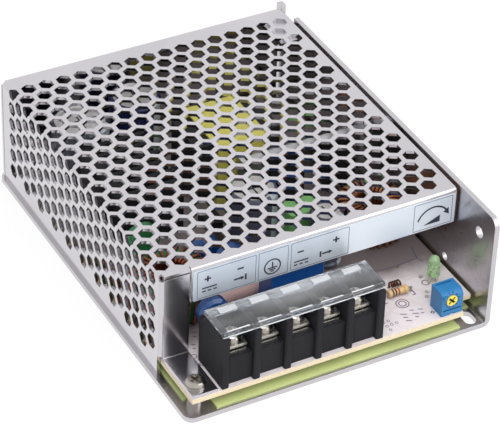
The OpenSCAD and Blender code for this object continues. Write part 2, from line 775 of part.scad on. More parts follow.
module terminal_lid() {
    lip_round = 0.4;
    pin_l = lid_side + pin_reach;
    pad_y = hinge_y - 2.3;
    color([0.8, 0.9, 0.95, 0.4]) union() {
        along_x(lid_x0, lid_x1) difference() {
            polygon([
                [lid_y0, lid_top - lip_h], [lid_y0, lid_top], [hinge_y, lid_top], [hinge_y, lid_under],
                [lid_y0 + lip_t, lid_under], [lid_y0 + lip_t, lid_top - lip_h]
            ]);
            translate([lid_y0, lid_top]) mirror([0, 1]) corner_waste(lip_round);
            translate([lid_y0, lid_top - lip_h]) corner_waste(lip_round);
        }
        // Hinge barrel between the end walls, hung under the lid's rear edge
        along_x(barrel_x0, barrel_x1) union() {
            polygon([
                [hinge_y - barrel_r, lid_under + 0.2], [hinge_y, lid_under + 0.2],
                [hinge_y + barrel_r * 0.8, hinge_z + barrel_r * 0.6], [hinge_y, hinge_z],
                [hinge_y - barrel_r, hinge_z]
            ]);
            translate([hinge_y, hinge_z]) circle(barrel_r);
        }
        for (x = pole_x) translate([x - pad_l / 2, pad_y - pad_w / 2, lid_top - 0.1])
            cube([pad_l, pad_w, pad_h + 0.1]);
        translate([barrel_x0 - pin_l, hinge_y, hinge_z]) rotate([0, 90, 0])
            cylinder(d = pin_d, h = barrel_x1 - barrel_x0 + 2 * pin_l);
    }
}

module trimmer_body() {
    groove = 0.5;
    mid = (trim_x0 + trim_x1) / 2;
    stud_d = 1.3;
    color("steelblue") difference() {
        union() {
            along_x(trim_x0, trim_x1) difference() {
                translate([trim_y0, board_top]) square([trim_d, trim_h]);
                translate([trim_y0, board_top + trim_h]) mirror([0, 1]) corner_waste(trim_round);
            }
            translate([trim_x0 + 0.9, trim_y0 + 1.4, board_top + trim_h - 1.2]) rotate([90, 0, 0])
                cylinder(d = stud_d, h = 1.8);
        }
        translate([trim_x0 + 0.5, trim_y0 - cut, board_top + 1.6]) cube([trim_w - 1, groove + cut, groove]);
        translate([trim_x0 + 0.6, trim_y0 + trim_d - 1.2, board_top + trim_h - groove])
            cube([trim_w - 1.8, groove, groove + cut]);
        translate([mid - 0.5, trim_y0 - cut, board_top - cut]) cube([1, groove + cut, groove + cut]);
        translate([rotor_x, trim_y0 + rotor_l, board_top + rotor_z]) rotate([90, 0, 0])
            cylinder(r = rotor_d / 2 + rotor_fit, h = rotor_l + cut);
    }
}

module trimmer_rotor() {
    slot = 0.7;
    reach = rotor_l - seat_gap + rotor_proud;
    color("gold") translate([rotor_x, trim_y0 - rotor_proud, board_top + rotor_z]) rotate([-90, 0, 0])
        difference() {
            cylinder(d = rotor_d, h = reach);
            for (turn = [0, 90]) rotate(turn + 45) translate([-rotor_d * 0.4, -slot / 2, -cut])
                cube([rotor_d * 0.8, slot, cut + 0.8]);
        }
}

module indicator_lens() {
    rim_h = 4;
    dome_z = lamp_h - dome_d / 2;
    color([0.5, 0.8, 0.5, 0.7]) translate([lamp_pos.x, lamp_pos.y, board_top + lamp_lift]) union() {
        cylinder(d = lamp_d, h = 1);
        cylinder(d = lamp_d - 0.3, h = rim_h);
        rotate_extrude() difference() {
            square([dome_d / 2, lamp_h]);
            translate([dome_d / 2, lamp_h]) rotate(180) corner_waste(dome_d / 2);
        }
    }
}

module indicator_leads() {
    color("lightgray") for (side = [-1, 1])
        translate([lamp_pos.x + side * lead_pitch / 2 - lead_d / 2, lamp_pos.y - lead_d / 2, board_top])
            cube([lead_d, lead_d, lamp_lift]);
}

// Axial resistor along X on two bent leads
module axial_resistor(pos, body_d, body_l) {
    lift = body_d / 2 + 0.3;
    span = body_l + 3;
    translate([pos.x, pos.y, board_top + lift]) union() {
        rotate([0, 90, 0]) translate([0, 0, -body_l / 2]) rotate_extrude() polygon([
            [0, 0], [body_d / 2 - 0.3, 0], [body_d / 2, 0.3], [body_d / 2, body_l * 0.22],
            [body_d / 2 - 0.2, body_l * 0.3], [body_d / 2 - 0.2, body_l * 0.7],
            [body_d / 2, body_l * 0.78], [body_d / 2, body_l - 0.3], [body_d / 2 - 0.3, body_l], [0, body_l]
        ]);
        translate([-span / 2, 0, 0]) rotate([0, 90, 0]) cylinder(d = lead_d, h = span);
        for (side = [-1, 1]) translate([side * (span / 2 - lead_d / 2), 0, -lift])
            cylinder(d = lead_d, h = lift);
    }
}

module band_resistor() {
    color("burlywood") axial_resistor([board_x1 - 19.5, board_y0 + 14.8], 2.5, 6.6);
}

module small_resistor() {
    color("saddlebrown") axial_resistor([board_x1 - 18, board_y0 + 18.8], 1.7, 3.6);
}

// Stands an inner part on the board at its place, at the scale that fits the case
module inner(pos) {
    translate([pos.x, pos.y, board_top]) scale(fit) children();
}

module transformer_core() {
    core_l = winding_l + 2 * core_leg + 0.4;
    color("dimgray") inner(transformer) rotate(90) translate([-core_w / 2, -core_l / 2, core_lift])
        difference() {
            cube([core_w, core_l, core_h - core_lift]);
            translate([-cut, core_leg, yoke_h]) cube([core_w + 2 * cut, core_l - 2 * core_leg, window_h]);
        }
}

module transformer_winding() {
    gap = 0.2;
    side_t = core_side - gap;
    tape_t = 0.6;
    color("khaki") inner(transformer) rotate(90) translate([0, -winding_l / 2, 0]) union() {
        // Wound coil inside the core's window, wider than the core
        translate([-winding_w / 2, 0, core_lift + yoke_h + gap])
            cube([winding_w, winding_l, window_h - 2 * gap]);
        for (side = [0, 1]) mirror([side, 0, 0]) translate([winding_w / 2, 0, 0]) {
            // Coil side that rises past the yokes
            translate([-side_t, 0, 1.5]) cube([side_t, winding_l, core_h - 1.5]);
            // Bobbin foot down to the board
            translate([-2, 0, 0]) cube([2, winding_l, 2]);
            // Tape that runs up to the band
            translate([-1, 0, core_h - 1]) cube([1, winding_l, 1 + gap + tape_t]);
        }
        // Tape band over the core's top
        translate([-winding_w / 2, 0, core_h + gap]) cube([winding_w, winding_l, tape_t]);
    }
}

module heatsink_bracket() {
    color("silver") translate([0, 0, board_top]) along_x(sink_x0, sink_x1)
        translate([sink_y, 0]) scale(fit) translate([0, sink_h]) mirror([1, 0]) mirror([0, 1])
            fold_section(sink_flange, sink_h, sink_t, bend_r);
}

module power_transistors() {
    tab_t = 1.3;
    tab_h = 12.5;
    body = [10, 4.4, 9];
    foot = 4;
    face_y = sink_y - sink_t * fit;
    color("dimgray") for (x = transistor_x) inner([x, face_y]) translate([0, 0, foot]) union() {
        translate([-body.x / 2, -tab_t, 0]) cube([body.x, tab_t, tab_h]);
        translate([-body.x / 2, -body.y, 0]) cube([body.x, body.y, body.z]);
        for (i = [-1:1]) translate([i * lead_pitch - 0.4, -body.y / 2, -foot]) cube([0.8, 0.6, foot + 0.1]);
    }
}

module input_capacitor() {
    color("darkslategray") inner(input_cap) can(input_cap_d, input_cap_h, 1.6);
}

module second_capacitor() {
    color("midnightblue") inner(second_cap) can(second_cap_d, second_cap_h, 1.6);
}

module output_capacitors() {
    color("darkslategray") union() {
        inner(output_cap) can(output_cap_d, output_cap_h, 1.6);
        inner(small_cap) can(small_cap_d, small_cap_h, 1.4);
    }
}

// Moulded box with rounded upright corners
module box_part(size, r) {
    translate([-size.x / 2, -size.y / 2, 0]) linear_extrude(size.z) difference() {
        square([size.x, size.y]);
        for (sx = [0, 1], sy = [0, 1]) translate([sx * size.x, sy * size.y])
            mirror([sx, 0]) mirror([0, sy]) corner_waste(r);
    }
}

module film_capacitor() {
    color("mediumseagreen") inner(film_pos) box_part(film_size, 1.5);
}

module box_capacitor() {
    color("royalblue") inner(box_pos) box_part(box_size, 0.6);
}

module output_choke_core() {
    color("midnightblue") inner(output_choke) choke_core(output_core_d, output_core_h);
}

module output_choke_winding() {
    color("peru") inner(output_choke) choke_winding(output_core_d, output_core_h);
}

module line_choke_core() {
    color("darkgreen") inner(line_choke) choke_core(line_core_d, line_core_h);
}

module line_choke_winding() {
    color("sienna") inner(line_choke) choke_winding(line_core_d, line_core_h);
}

module surge_disc() {
    color("seagreen") inner(surge_pos) disc_part(surge_d, disc_t, disc_lift);
}

module safety_capacitors() {
    color("cornflowerblue") for (spot = disc_spots) inner(spot) disc_part(disc_d, disc_t, disc_lift);
}

module bridge_rectifier() {
    foot = 3;
    pin_pitch = 3.8;
    color("dimgray") inner(bridge_pos) union() {
        translate([-bridge_size.x / 2, -bridge_size.y / 2, foot]) cube(bridge_size);
        for (i = [-1.5:1.5]) translate([-0.4, i * pin_pitch - 0.4, 0]) cube([0.8, 0.8, foot + 0.1]);
    }
}

// Black sink with fins across the case, on the rectifier's inner face
module bridge_sink() {
    deep = (fin_count - 1) * fin_pitch + fin_size.y;
    color("black") inner(bridge_pos) translate([bridge_size.x / 2 + 0.1, -deep / 2, 0]) union() {
        cube([sink_plate, deep, fin_size.z]);
        for (i = [0:fin_count - 1]) translate([sink_plate - 0.5, i * fin_pitch, 0])
            cube([fin_size.x + 0.5, fin_size.y, fin_size.z]);
    }
}

module fuse() {
    cap_l = 5;
    fuse_lift = 0.4;
    axis_z = fuse_d / 2 + fuse_lift;
    color("mistyrose") inner(fuse_pos) union() {
        translate([-fuse_l / 2, 0, axis_z]) rotate([0, 90, 0]) cylinder(d = fuse_d - 0.5, h = fuse_l);
        for (x = [-fuse_l / 2, fuse_l / 2 - cap_l]) translate([x, 0, axis_z]) rotate([0, 90, 0])
            cylinder(d = fuse_d, h = cap_l);
        for (side = [-1, 1]) translate([side * (fuse_l - cap_l) / 2, 0, 0]) cylinder(d = 1.2, h = fuse_d / 2);
    }
}

// Small dual in-line package on its two rows of legs
module chip(pins) {
    body = [pins * lead_pitch, 6.4, 3.2];
    foot = 0.6;
    union() {
        translate([-body.x / 2, -body.y / 2, foot]) cube(body);
        for (i = [0:pins - 1], side = [-1, 1])
            translate([(i - (pins - 1) / 2) * lead_pitch - 0.4, side * (body.y / 2 + 0.1) - 0.2, 0])
                cube([0.8, 0.4, foot + 1.6]);
    }
}

module control_chip() {
    color("dimgray") inner(chip_pos) chip(4);
}

module optocoupler() {
    color("dimgray") inner(opto_pos) chip(2);
}

chassis();
cover();
insulating_sheet();
circuit_board();
standoffs();
board_screws();
terminal_block();
terminal_plates();
terminal_lid();
for (i = [0:pole_count - 1]) {
    clamp(i);
    terminal_screw(i);
}
trimmer_body();
trimmer_rotor();
indicator_lens();
indicator_leads();
band_resistor();
small_resistor();
transformer_core();
transformer_winding();
heatsink_bracket();
power_transistors();
input_capacitor();
second_capacitor();
output_capacitors();
film_capacitor();
box_capacitor();
output_choke_core();
output_choke_winding();
line_choke_core();
line_choke_winding();
surge_disc();
safety_capacitors();
bridge_rectifier();
bridge_sink();
fuse();
control_chip();
optocoupler();
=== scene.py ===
"""Looks of an enclosed power supply: finishes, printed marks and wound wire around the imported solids.

Lengths are millimetres in the classes below and metres in Blender. X runs to the tall side wall, Y to the
rear and Z up, and the origin is the middle of the base's underside.
"""

from __future__ import annotations

import json
import logging
import math
from dataclasses import dataclass, field
from enum import Enum
from typing import NamedTuple

import bmesh
import bpy
from mathutils import Matrix, Vector

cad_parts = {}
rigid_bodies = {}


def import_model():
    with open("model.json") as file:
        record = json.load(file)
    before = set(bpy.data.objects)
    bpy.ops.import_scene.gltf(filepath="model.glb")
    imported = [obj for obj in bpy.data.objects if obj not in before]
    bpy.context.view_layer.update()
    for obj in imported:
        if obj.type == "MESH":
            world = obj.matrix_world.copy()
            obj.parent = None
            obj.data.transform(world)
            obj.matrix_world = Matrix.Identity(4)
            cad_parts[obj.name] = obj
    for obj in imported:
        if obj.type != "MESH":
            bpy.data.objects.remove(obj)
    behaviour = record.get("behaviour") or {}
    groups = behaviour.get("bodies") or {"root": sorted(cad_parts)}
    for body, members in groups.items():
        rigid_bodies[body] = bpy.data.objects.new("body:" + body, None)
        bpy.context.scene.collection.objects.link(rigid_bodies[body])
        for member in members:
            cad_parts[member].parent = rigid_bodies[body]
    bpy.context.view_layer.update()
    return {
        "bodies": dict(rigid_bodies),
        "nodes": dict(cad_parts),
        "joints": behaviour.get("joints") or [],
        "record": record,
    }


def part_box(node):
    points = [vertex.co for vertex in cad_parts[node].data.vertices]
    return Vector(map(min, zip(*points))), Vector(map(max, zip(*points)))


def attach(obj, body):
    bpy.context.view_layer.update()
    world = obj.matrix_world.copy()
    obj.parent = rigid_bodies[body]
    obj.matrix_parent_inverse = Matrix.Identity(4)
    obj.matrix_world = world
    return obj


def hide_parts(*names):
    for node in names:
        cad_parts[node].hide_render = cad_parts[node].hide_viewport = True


MM = 0.001
LOG = logging.getLogger("supply")

Colour = tuple[float, float, float]
Flat = tuple[float, float]
Point = tuple[float, float, float]
Four = tuple[float, float, float, float]
Socket = bpy.types.NodeSocket
Corner = bmesh.types.BMVert

EAST: Point = (1.0, 0.0, 0.0)
NORTH: Point = (0.0, 1.0, 0.0)
UP: Point = (0.0, 0.0, 1.0)
WHITE: Colour = (1.0, 1.0, 1.0)
BODY = "supply"
EDGE_SAMPLES = 6
CORNER_STEPS, SWEEP_STEPS, RING_STEPS = 5, 18, 36
PARALLEL = 0.999
ACRYLIC_IOR = 1.49
MILKY_RADIUS = (0.002, 0.002, 0.001)
SRGB_KNEE, SRGB_SLOPE, SRGB_OFFSET, SRGB_POWER = 0.04045, 12.92, 0.055, 2.4


def shade(*levels: int) -> Colour:
    """Turn an eight-bit display colour into a shader's linear colour.

    Args:
        levels: Red, green and blue part, 0 to 255.

    Returns:
        The linear colour.
    """
    parts = [level / 255 for level in levels]
    red, green, blue = (
        part / SRGB_SLOPE if part <= SRGB_KNEE else ((part + SRGB_OFFSET) / (1 + SRGB_OFFSET)) ** SRGB_POWER
        for part in parts
    )
    return red, green, blue


def toned(colour: Colour, factor: float, lift: float = 0.0) -> Colour:
    """Return a lighter or darker colour.

    Args:
        colour: Linear colour.
        factor: Factor of each part.
        lift: Amount added to each part.

    Returns:
        The new linear colour.
    """
    red, green, blue = (min(1.0, part * factor + lift) for part in colour)
    return red, green, blue


class Axis(Enum):
    """Direction along which a finish changes."""

    X = "X"
    Y = "Y"
    Z = "Z"


class Pattern(NamedTuple):
    """Cloudy pattern: patches in a metre, octaves, and the scale along each axis for streaks."""

    scale: float
    detail: float = 3.0
    stretch: Point = (1.0, 1.0, 1.0)


class Graph:
    """Shader nodes of one material, added and linked by short calls."""

    def __init__(self, name: str) -> None:
        """Start an empty material.

        Args:
            name: Name of the material.
        """
        self.material = bpy.data.materials.new(name)
        self.material.use_nodes = True
        self.tree = self.material.node_tree
        self.tree.nodes.clear()
        self.output = self.tree.nodes.new("ShaderNodeOutputMaterial")
        self.place = self.tree.nodes.new("ShaderNodeTexCoord")

    def feed(self, socket: Socket, value: object) -> None:
        """Link a socket to another one, or set it to a constant.

        Args:
            socket: Input socket.
            value: Output socket, number, vector or linear colour.
        """
        if isinstance(value, bpy.types.NodeSocket):
            self.tree.links.new(value, socket)
        elif socket.type == "RGBA":
            socket.default_value = (*value, 1.0)
        else:
            socket.default_value = value

    def add(self, kind: str, inputs: dict[str | int, object], **settings: object) -> bpy.types.Node:
        """Add a node.

        Args:
            kind: Node type without the ShaderNode prefix.
            inputs: Values of its input sockets, by name or number.
            settings: Values of its own properties.

        Returns:
            The new node.
        """
        node = self.tree.nodes.new("ShaderNode" + kind)
        for key, value in settings.items():
            setattr(node, key, value)
        for key, value in inputs.items():
            self.feed(node.inputs[key], value)
        return node

    def along(self, axis: Axis) -> Socket:
        """Return the object coordinate along an axis, in metres."""
        return self.add("SeparateXYZ", {0: self.place.outputs["Object"]}).outputs[axis.value]

    def facing(self, axis: Axis) -> Socket:
        """Return how far the surface faces along an axis, from -1 to 1."""
        return self.add("SeparateXYZ", {0: self.place.outputs["Normal"]}).outputs[axis.value]

    def calc(self, kind: str, first: object, second: object = 0.0) -> Socket:
        """Return the result of a Math node of this kind; some kinds take the first value only."""
        return self.add("Math", {0: first, 1: second}, operation=kind).outputs[0]

    def between(self, value: Socket, low: float, high: float) -> Socket:
        """Return 1 where a value lies between two limits, else 0.

        Args:
            value: Value to test.
            low: Lower limit.
            high: Upper limit.

        Returns:
            The mask's socket.
        """
        over = self.calc("GREATER_THAN", value, low)
        under = self.calc("LESS_THAN", value, high)
        return self.calc("MULTIPLY", over, under)

    def noise(self, scale: float, detail: float = 3.0, stretch: Point = (1.0, 1.0, 1.0)) -> Socket:
        """Return a cloudy pattern, 0 to 1: patches in a metre, octaves, and the scale along each axis."""
        spot = self.add("Mapping", {"Vector": self.place.outputs["Object"], "Scale": stretch}).outputs[0]
        return self.add("TexNoise", {"Vector": spot, "Scale": scale, "Detail": detail}).outputs[0]

    def spread(self, value: Socket, low: float, high: float, start: float = 0.3, end: float = 0.7) -> Socket:
        """Map a pattern onto a range, low where the pattern has the start value and high at the end value."""
        return self.add("MapRange", {0: value, 1: start, 2: end, 3: low, 4: high}).outputs[0]

    def blend(self, share: Socket, first: object, second: object) -> Socket:
        """Mix two colours, by the share of the second."""
        return self.add("Mix", {0: share, 6: first, 7: second}, data_type="RGBA").outputs[2]

    def relief(self, height: Socket, depth: float, edge: float = 0.0) -> Socket:
        """Return a bumped normal, over softened edges if a radius is given.

        Args:
            height: Height pattern, 0 to 1.
            depth: Height of the relief in millimetres.
            edge: Radius of the softened edges in millimetres.

        Returns:
            The normal's socket.
        """
        inputs: dict[str | int, object] = {"Height": height, "Distance": depth * MM, "Strength": 1.0}
        if edge:
            inputs["Normal"] = self.add("Bevel", {"Radius": edge * MM}, samples=EDGE_SAMPLES).outputs[0]
        return self.add("Bump", inputs).outputs[0]

    def skin(self, **inputs: object) -> Socket:
        """Return a principled shader; underscores in the input names stand for spaces."""
        named = {key.replace("_", " "): value for key, value in inputs.items()}
        return self.add("BsdfPrincipled", named).outputs[0]

    def wire(self, tarnish: Socket, light: Colour, dark: Colour) -> Socket:
        """Return the shader of bare tinned wire, light where it is clean and dark where it is tarnished."""
        tone, rough = self.blend(tarnish, light, dark), self.spread(tarnish, 0.25, 0.4)
        return self.skin(Base_Color=tone, Metallic=1.0, Roughness=rough)

    def cross(self, share: Socket, first: Socket, second: Socket) -> Socket:
        """Mix two shaders, by the share of the second."""
        return self.add("MixShader", {0: share, 1: first, 2: second}).outputs[0]

    def close(self, shader: Socket) -> None:
        """Link the shader to the material's output."""
        self.tree.links.new(shader, self.output.inputs["Surface"])


@dataclass(frozen=True)
class Finish:
    """Finish of a surface, which makes its own material."""

    name: str
    colour: Colour

    def material(self) -> bpy.types.Material:
        """Make this finish's material on first use.

        Returns:
            The material.
        """
        made = bpy.data.materials.get(self.name)
        if made is None:
            graph = Graph(self.name)
            graph.close(self.lay(graph))
            made = graph.material
        return made

    def lay(self, graph: Graph) -> Socket:
        """Lay the finish's nodes and return its shader."""
        raise NotImplementedError

    def mottle(self, graph: Graph, cloud: Socket, share: float, factor: float) -> Socket:
        """Return the finish's colour, mottled by a pattern up to a share of a toned one."""
        return graph.blend(graph.spread(cloud, 0.0, share), self.colour, toned(self.colour, factor))

    def put(self, thing: bpy.types.Object) -> None:
        """Give an object this finish in all its slots.

        Args:
            thing: Object to dress.
        """
        if not thing.material_slots:
            thing.data.materials.append(self.material())
        for slot in thing.material_slots:
            slot.material = self.material()


@dataclass(frozen=True)
class Surface(Finish):
    """Surface whose colour clouds over into a second one, with uneven gloss and a fine relief."""

    second: Colour | None = None
    fade: Flat = (1.0, 0.0)
    share: tuple[float, ...] = (0.0, 1.0)
    cloud: Pattern = Pattern(90.0)
    grain: Pattern | None = None
    grainy: bool = False
    gloss: float = 0.3
    uneven: Flat = (-0.06, 0.1)
    metallic: float = 0.0
    shine: float = 0.5
    varnish: Flat = (0.0, 0.03)
    clear: float = 0.0
    milky: float = 0.0
    depth: float = 0.01
    edge: float = 0.0

    def lay(self, graph: Graph) -> Socket:
        """Lay the surface's nodes.

        Args:
            graph: Graph of the material.

        Returns:
            The finished shader.
        """
        cloud = graph.noise(*self.cloud)
        grain = graph.noise(*self.grain) if self.grain else cloud
        second = self.second or toned(self.colour, *self.fade)
        smooth, rough = (self.gloss + part for part in self.uneven)
        return graph.skin(
            Base_Color=graph.blend(graph.spread(cloud, *self.share), self.colour, second),
            Metallic=self.metallic,
            Roughness=graph.spread(grain if self.grainy else cloud, smooth, rough),
            Specular_IOR_Level=self.shine,
            Coat_Weight=self.varnish[0],
            Coat_Roughness=self.varnish[1],
            Transmission_Weight=self.clear,
            Subsurface_Weight=self.milky,
            Subsurface_Radius=MILKY_RADIUS,
            Normal=graph.relief(grain, self.depth, self.edge),
        )


@dataclass(frozen=True)
class SheetMetal(Surface):
    """Bare rolled sheet with fine rolling lines, faint blotches and broken edges."""

    fade: Flat = (0.93, 0.0)
    cloud: Pattern = Pattern(38.0, 4.0)
    grain: Pattern | None = Pattern(5200.0, 2.0, (1.0, 0.04, 1.0))
    uneven: Flat = (-0.05, 0.07)
    metallic: float = 1.0
    depth: float = 0.002
    edge: float = 0.18


@dataclass(frozen=True)
class Moulding(Surface):
    """Moulded plastic with a fine spark-eroded grain and softened edges."""

    fade: Flat = (1.18, 0.004)
    share: tuple[float, ...] = (0.0, 0.7)
    grain: Pattern | None = Pattern(2600.0)
    grainy: bool = True
    depth: float = 0.02
    edge: float = 0.15


@dataclass(frozen=True)
class Plating(Surface):
    """Bright plated metal with turning marks and slight tarnish."""

    second: Colour | None = (0.32, 0.28, 0.22)
    share: tuple[float, ...] = (0.0, 0.45, 0.5, 0.8)
    cloud: Pattern = Pattern(420.0, 4.0)
    grain: Pattern | None = Pattern(6000.0, 2.0)
    uneven: Flat = (-0.06, 0.14)
    metallic: float = 1.0
    depth: float = 0.006
    edge: float = 0.1


@dataclass(frozen=True)
class Enamel(Surface):
    """Enamelled wire: metal under a tinted varnish."""

    second: Colour | None = (0.2, 0.08, 0.03)
    share: tuple[float, ...] = (0.0, 0.8)
    cloud: Pattern = Pattern(260.0, 4.0)
    uneven: Flat = (-0.08, 0.1)
    metallic: float = 0.85
    varnish: Flat = (0.6, 0.12)


@dataclass(frozen=True)
class Ink(Surface):
    """Screen-printed ink, a little uneven."""

    share: tuple[float, ...] = (0.0, 0.5, 0.5, 0.8)
    cloud: Pattern = Pattern(3200.0)
    gloss: float = 0.5
    uneven: Flat = (-0.08, 0.1)
    depth: float = 0.004


@dataclass(frozen=True)
class ClearMoulding(Finish):
    """Clear plastic with flow lines, a patchy painted sheen on upward faces to the rear, and whitish frosted
    pads above a height that partly stand in for highlights.
    """

    frost_z: float = 26.72
    frost_and_highlight: Colour = (0.9, 0.92, 0.97)
    painted_sheen_y: Flat = (-60.5, -52.0)
    painted_sheen: Flat = (0.0, 0.2)
    sheen_patches: Flat = (0.1, 2.0)
    pads: float = 0.65
    level: float = 0.7

    def lay(self, graph: Graph) -> Socket:
        """Lay the clear plastic's nodes.

        Args:
            graph: Graph of the material.

        Returns:
            The finished shader.
        """
        flow = graph.noise(160.0, 2.0, (0.3, 1.0, 1.0))
        clear = graph.skin(
            Base_Color=self.colour,
            Roughness=graph.spread(flow, 0.015, 0.05),
            Transmission_Weight=1.0,
            IOR=ACRYLIC_IOR,
            Normal=graph.relief(flow, 0.012),
        )
        speck = graph.noise(1800.0, 3.0)
        frosted = graph.skin(
            Base_Color=graph.blend(speck, self.frost_and_highlight, self.colour),
            Roughness=graph.spread(speck, 0.3, 0.5),
            Transmission_Weight=0.35,
            IOR=ACRYLIC_IOR,
            Normal=graph.relief(speck, 0.02),
        )
        # Painted sheen: upward faces towards the rear are mixed, in patches, into the whitish frosted shader.
        rear = graph.spread(graph.along(Axis.Y), *self.painted_sheen, self.painted_sheen_y[0] * MM, self.painted_sheen_y[1] * MM)
        upward = graph.calc("GREATER_THAN", graph.facing(Axis.Z), self.level)
        sheen_share = graph.calc("MULTIPLY", graph.calc("MULTIPLY", rear, upward), graph.spread(flow, *self.sheen_patches))
        # Frosted pads above a height, their whiteness partly a painted highlight.
        pad = graph.calc("GREATER_THAN", graph.along(Axis.Z), self.frost_z * MM)
        milky = graph.calc("MAXIMUM", sheen_share, graph.calc("MULTIPLY", pad, self.pads))
        return graph.cross(milky, clear, frosted)


@dataclass(frozen=True)
class Laminate(Finish):
    """Printed board: a pale face with faint traces, darkened inside the case by painted shade, and a tan sawn
    edge.
    """

    edge: Colour = shade(226, 212, 182)
    core: Colour = shade(206, 184, 146)
    trace: Colour = shade(206, 194, 196)
    inner_painted_shade: Colour = shade(116, 106, 106)
    inner_painted_shade_y: Flat = (-42.5, -35.0)

    def lay(self, graph: Graph) -> Socket:
        """Lay the board's nodes.

        Args:
            graph: Graph of the material.

        Returns:
            The finished shader.
        """
        weave = graph.noise(2400.0, 2.0)
        spot = graph.add("Mapping", {"Vector": graph.place.outputs["Object"], "Scale": (1.0, 1.6, 1.0)})
        pattern = {"Vector": spot.outputs[0], "Scale": 130.0}
        cells = graph.add("TexVoronoi", pattern, feature="DISTANCE_TO_EDGE").outputs[0]
        traces = graph.spread(cells, 1.0, 0.0, 0.05, 0.08)
        face = graph.blend(graph.calc("MULTIPLY", traces, 0.5), self.colour, self.trace)
        # Painted shade: the face darkens towards the rear, inside the case where the cover's shadow falls.
        cloud = graph.spread(graph.noise(70.0, 4.0), -0.003, 0.003)
        inward = graph.calc("ADD", graph.along(Axis.Y), cloud)
        inside = graph.spread(inward, 0.0, 0.95, self.inner_painted_shade_y[0] * MM, self.inner_painted_shade_y[1] * MM)
        face = graph.blend(inside, face, self.inner_painted_shade)
        cut = graph.blend(graph.spread(weave, 0.0, 0.6), self.edge, self.core)
        flat = graph.calc("GREATER_THAN", graph.calc("ABSOLUTE", graph.facing(Axis.Z)), 0.5)
        return graph.skin(
            Base_Color=graph.blend(flat, cut, face),
            Roughness=graph.spread(weave, 0.38, 0.55),
            Coat_Weight=0.15,
            Coat_Roughness=0.3,
            Normal=graph.relief(graph.calc("ADD", weave, traces), 0.012),
        )


@dataclass(frozen=True)
class WoundTape(Finish):
    """Layers of glossy tape, each edge a fine line."""

    layer: float = 1.1
    seam: float = 0.12
    deep: float = 0.72

    def lay(self, graph: Graph) -> Socket:
        """Lay the tape's nodes.

        Args:
            graph: Graph of the material.

        Returns:
            The finished shader.
        """
        height = graph.calc("DIVIDE", graph.along(Axis.Z), self.layer * MM)
        seam = graph.calc("LESS_THAN", graph.calc("FRACT", height), self.seam)
        cloud = graph.noise(140.0, 3.0)
        tone, deep = self.mottle(graph, cloud, 0.6, self.deep), toned(self.colour, self.deep)
        return graph.skin(
            Base_Color=graph.blend(graph.calc("MULTIPLY", seam, 0.5), tone, deep),
            Roughness=graph.spread(cloud, 0.22, 0.36),
            Coat_Weight=0.3,
            Coat_Roughness=0.1,
            Normal=graph.relief(graph.calc("ADD", cloud, seam), 0.04, 0.25),
        )


@dataclass(frozen=True)
class Sleeve(Finish):
    """Shrink sleeve of round cans, with a pale stripe and a bare metal top that is scored as a vent, its
    scored lines darkened by painted shade.

    Each can is given by the X and Y of its middle, its radius and the height of its top.
    """

    cans: tuple[Four, ...] = ()
    stripe: Colour = (0.55, 0.6, 0.66)
    stripe_turn: Flat = (-1.2, -0.6)
    shrink: float = 0.5
    rim: float = 1.3
    top_h: float = 0.7
    score: float = 0.28
    score_reach: float = 0.62

    def lay(self, graph: Graph) -> Socket:
        """Lay the sleeve's and the top's nodes.

        Args:
            graph: Graph of the material.

        Returns:
            The joined shader.
        """
        cloud = graph.noise(120.0, 3.0)
        top, striped, scored = self.masks(graph)
        sleeve = graph.skin(
            Base_Color=graph.blend(striped, self.colour, self.stripe),
            Roughness=graph.spread(cloud, 0.2, 0.34),
            Coat_Weight=0.3,
            Coat_Roughness=0.08,
            Normal=graph.relief(cloud, 0.03, 0.2),
        )
        metal = graph.blend(cloud, shade(232, 230, 230), shade(186, 184, 184))
        bare = graph.skin(
            # Painted shade: the scored vent lines are darkened.
            Base_Color=graph.blend(scored, metal, shade(84, 82, 82)),
            Metallic=0.5,
            Roughness=graph.spread(cloud, 0.25, 0.4),
            Normal=graph.relief(graph.calc("SUBTRACT", cloud, scored), 0.15),
        )
        return graph.cross(top, sleeve, bare)

    def masks(self, graph: Graph) -> tuple[Socket, Socket, Socket]:
        """Find the bare tops, the stripes and the scored lines of all cans.

        Args:
            graph: Graph that takes the nodes.

        Returns:
            Masks of the tops, the stripes and the scored lines.
        """
        found: list[Socket] = []
        for x, y, radius, top in self.cans:
            east = graph.calc("SUBTRACT", graph.along(Axis.X), x * MM)
            north = graph.calc("SUBTRACT", graph.along(Axis.Y), y * MM)
            squares = graph.calc("ADD", graph.calc("POWER", east, 2.0), graph.calc("POWER", north, 2.0))
            out = graph.calc("SQRT", squares)
            high = graph.calc("GREATER_THAN", graph.along(Axis.Z), (top - self.top_h) * MM)
            bare = graph.calc("MULTIPLY", high, graph.calc("LESS_THAN", out, (radius - self.rim) * MM))
            near = graph.calc("LESS_THAN", out, (radius + self.shrink) * MM)
            turned = graph.between(graph.calc("ARCTAN2", north, east), *self.stripe_turn)
            stripe = graph.calc("MULTIPLY", near, turned)
            narrow = graph.calc("MINIMUM", graph.calc("ABSOLUTE", east), graph.calc("ABSOLUTE", north))
            score = graph.calc("LESS_THAN", narrow, self.score * MM)
            inner = graph.calc("LESS_THAN", out, radius * self.score_reach * MM)
            parts = (bare, stripe, graph.calc("MULTIPLY", score, inner))
            found = [graph.calc("MAXIMUM", a, b) for a, b in zip(found, parts)] if found else list(parts)
        return found[0], found[1], found[2]


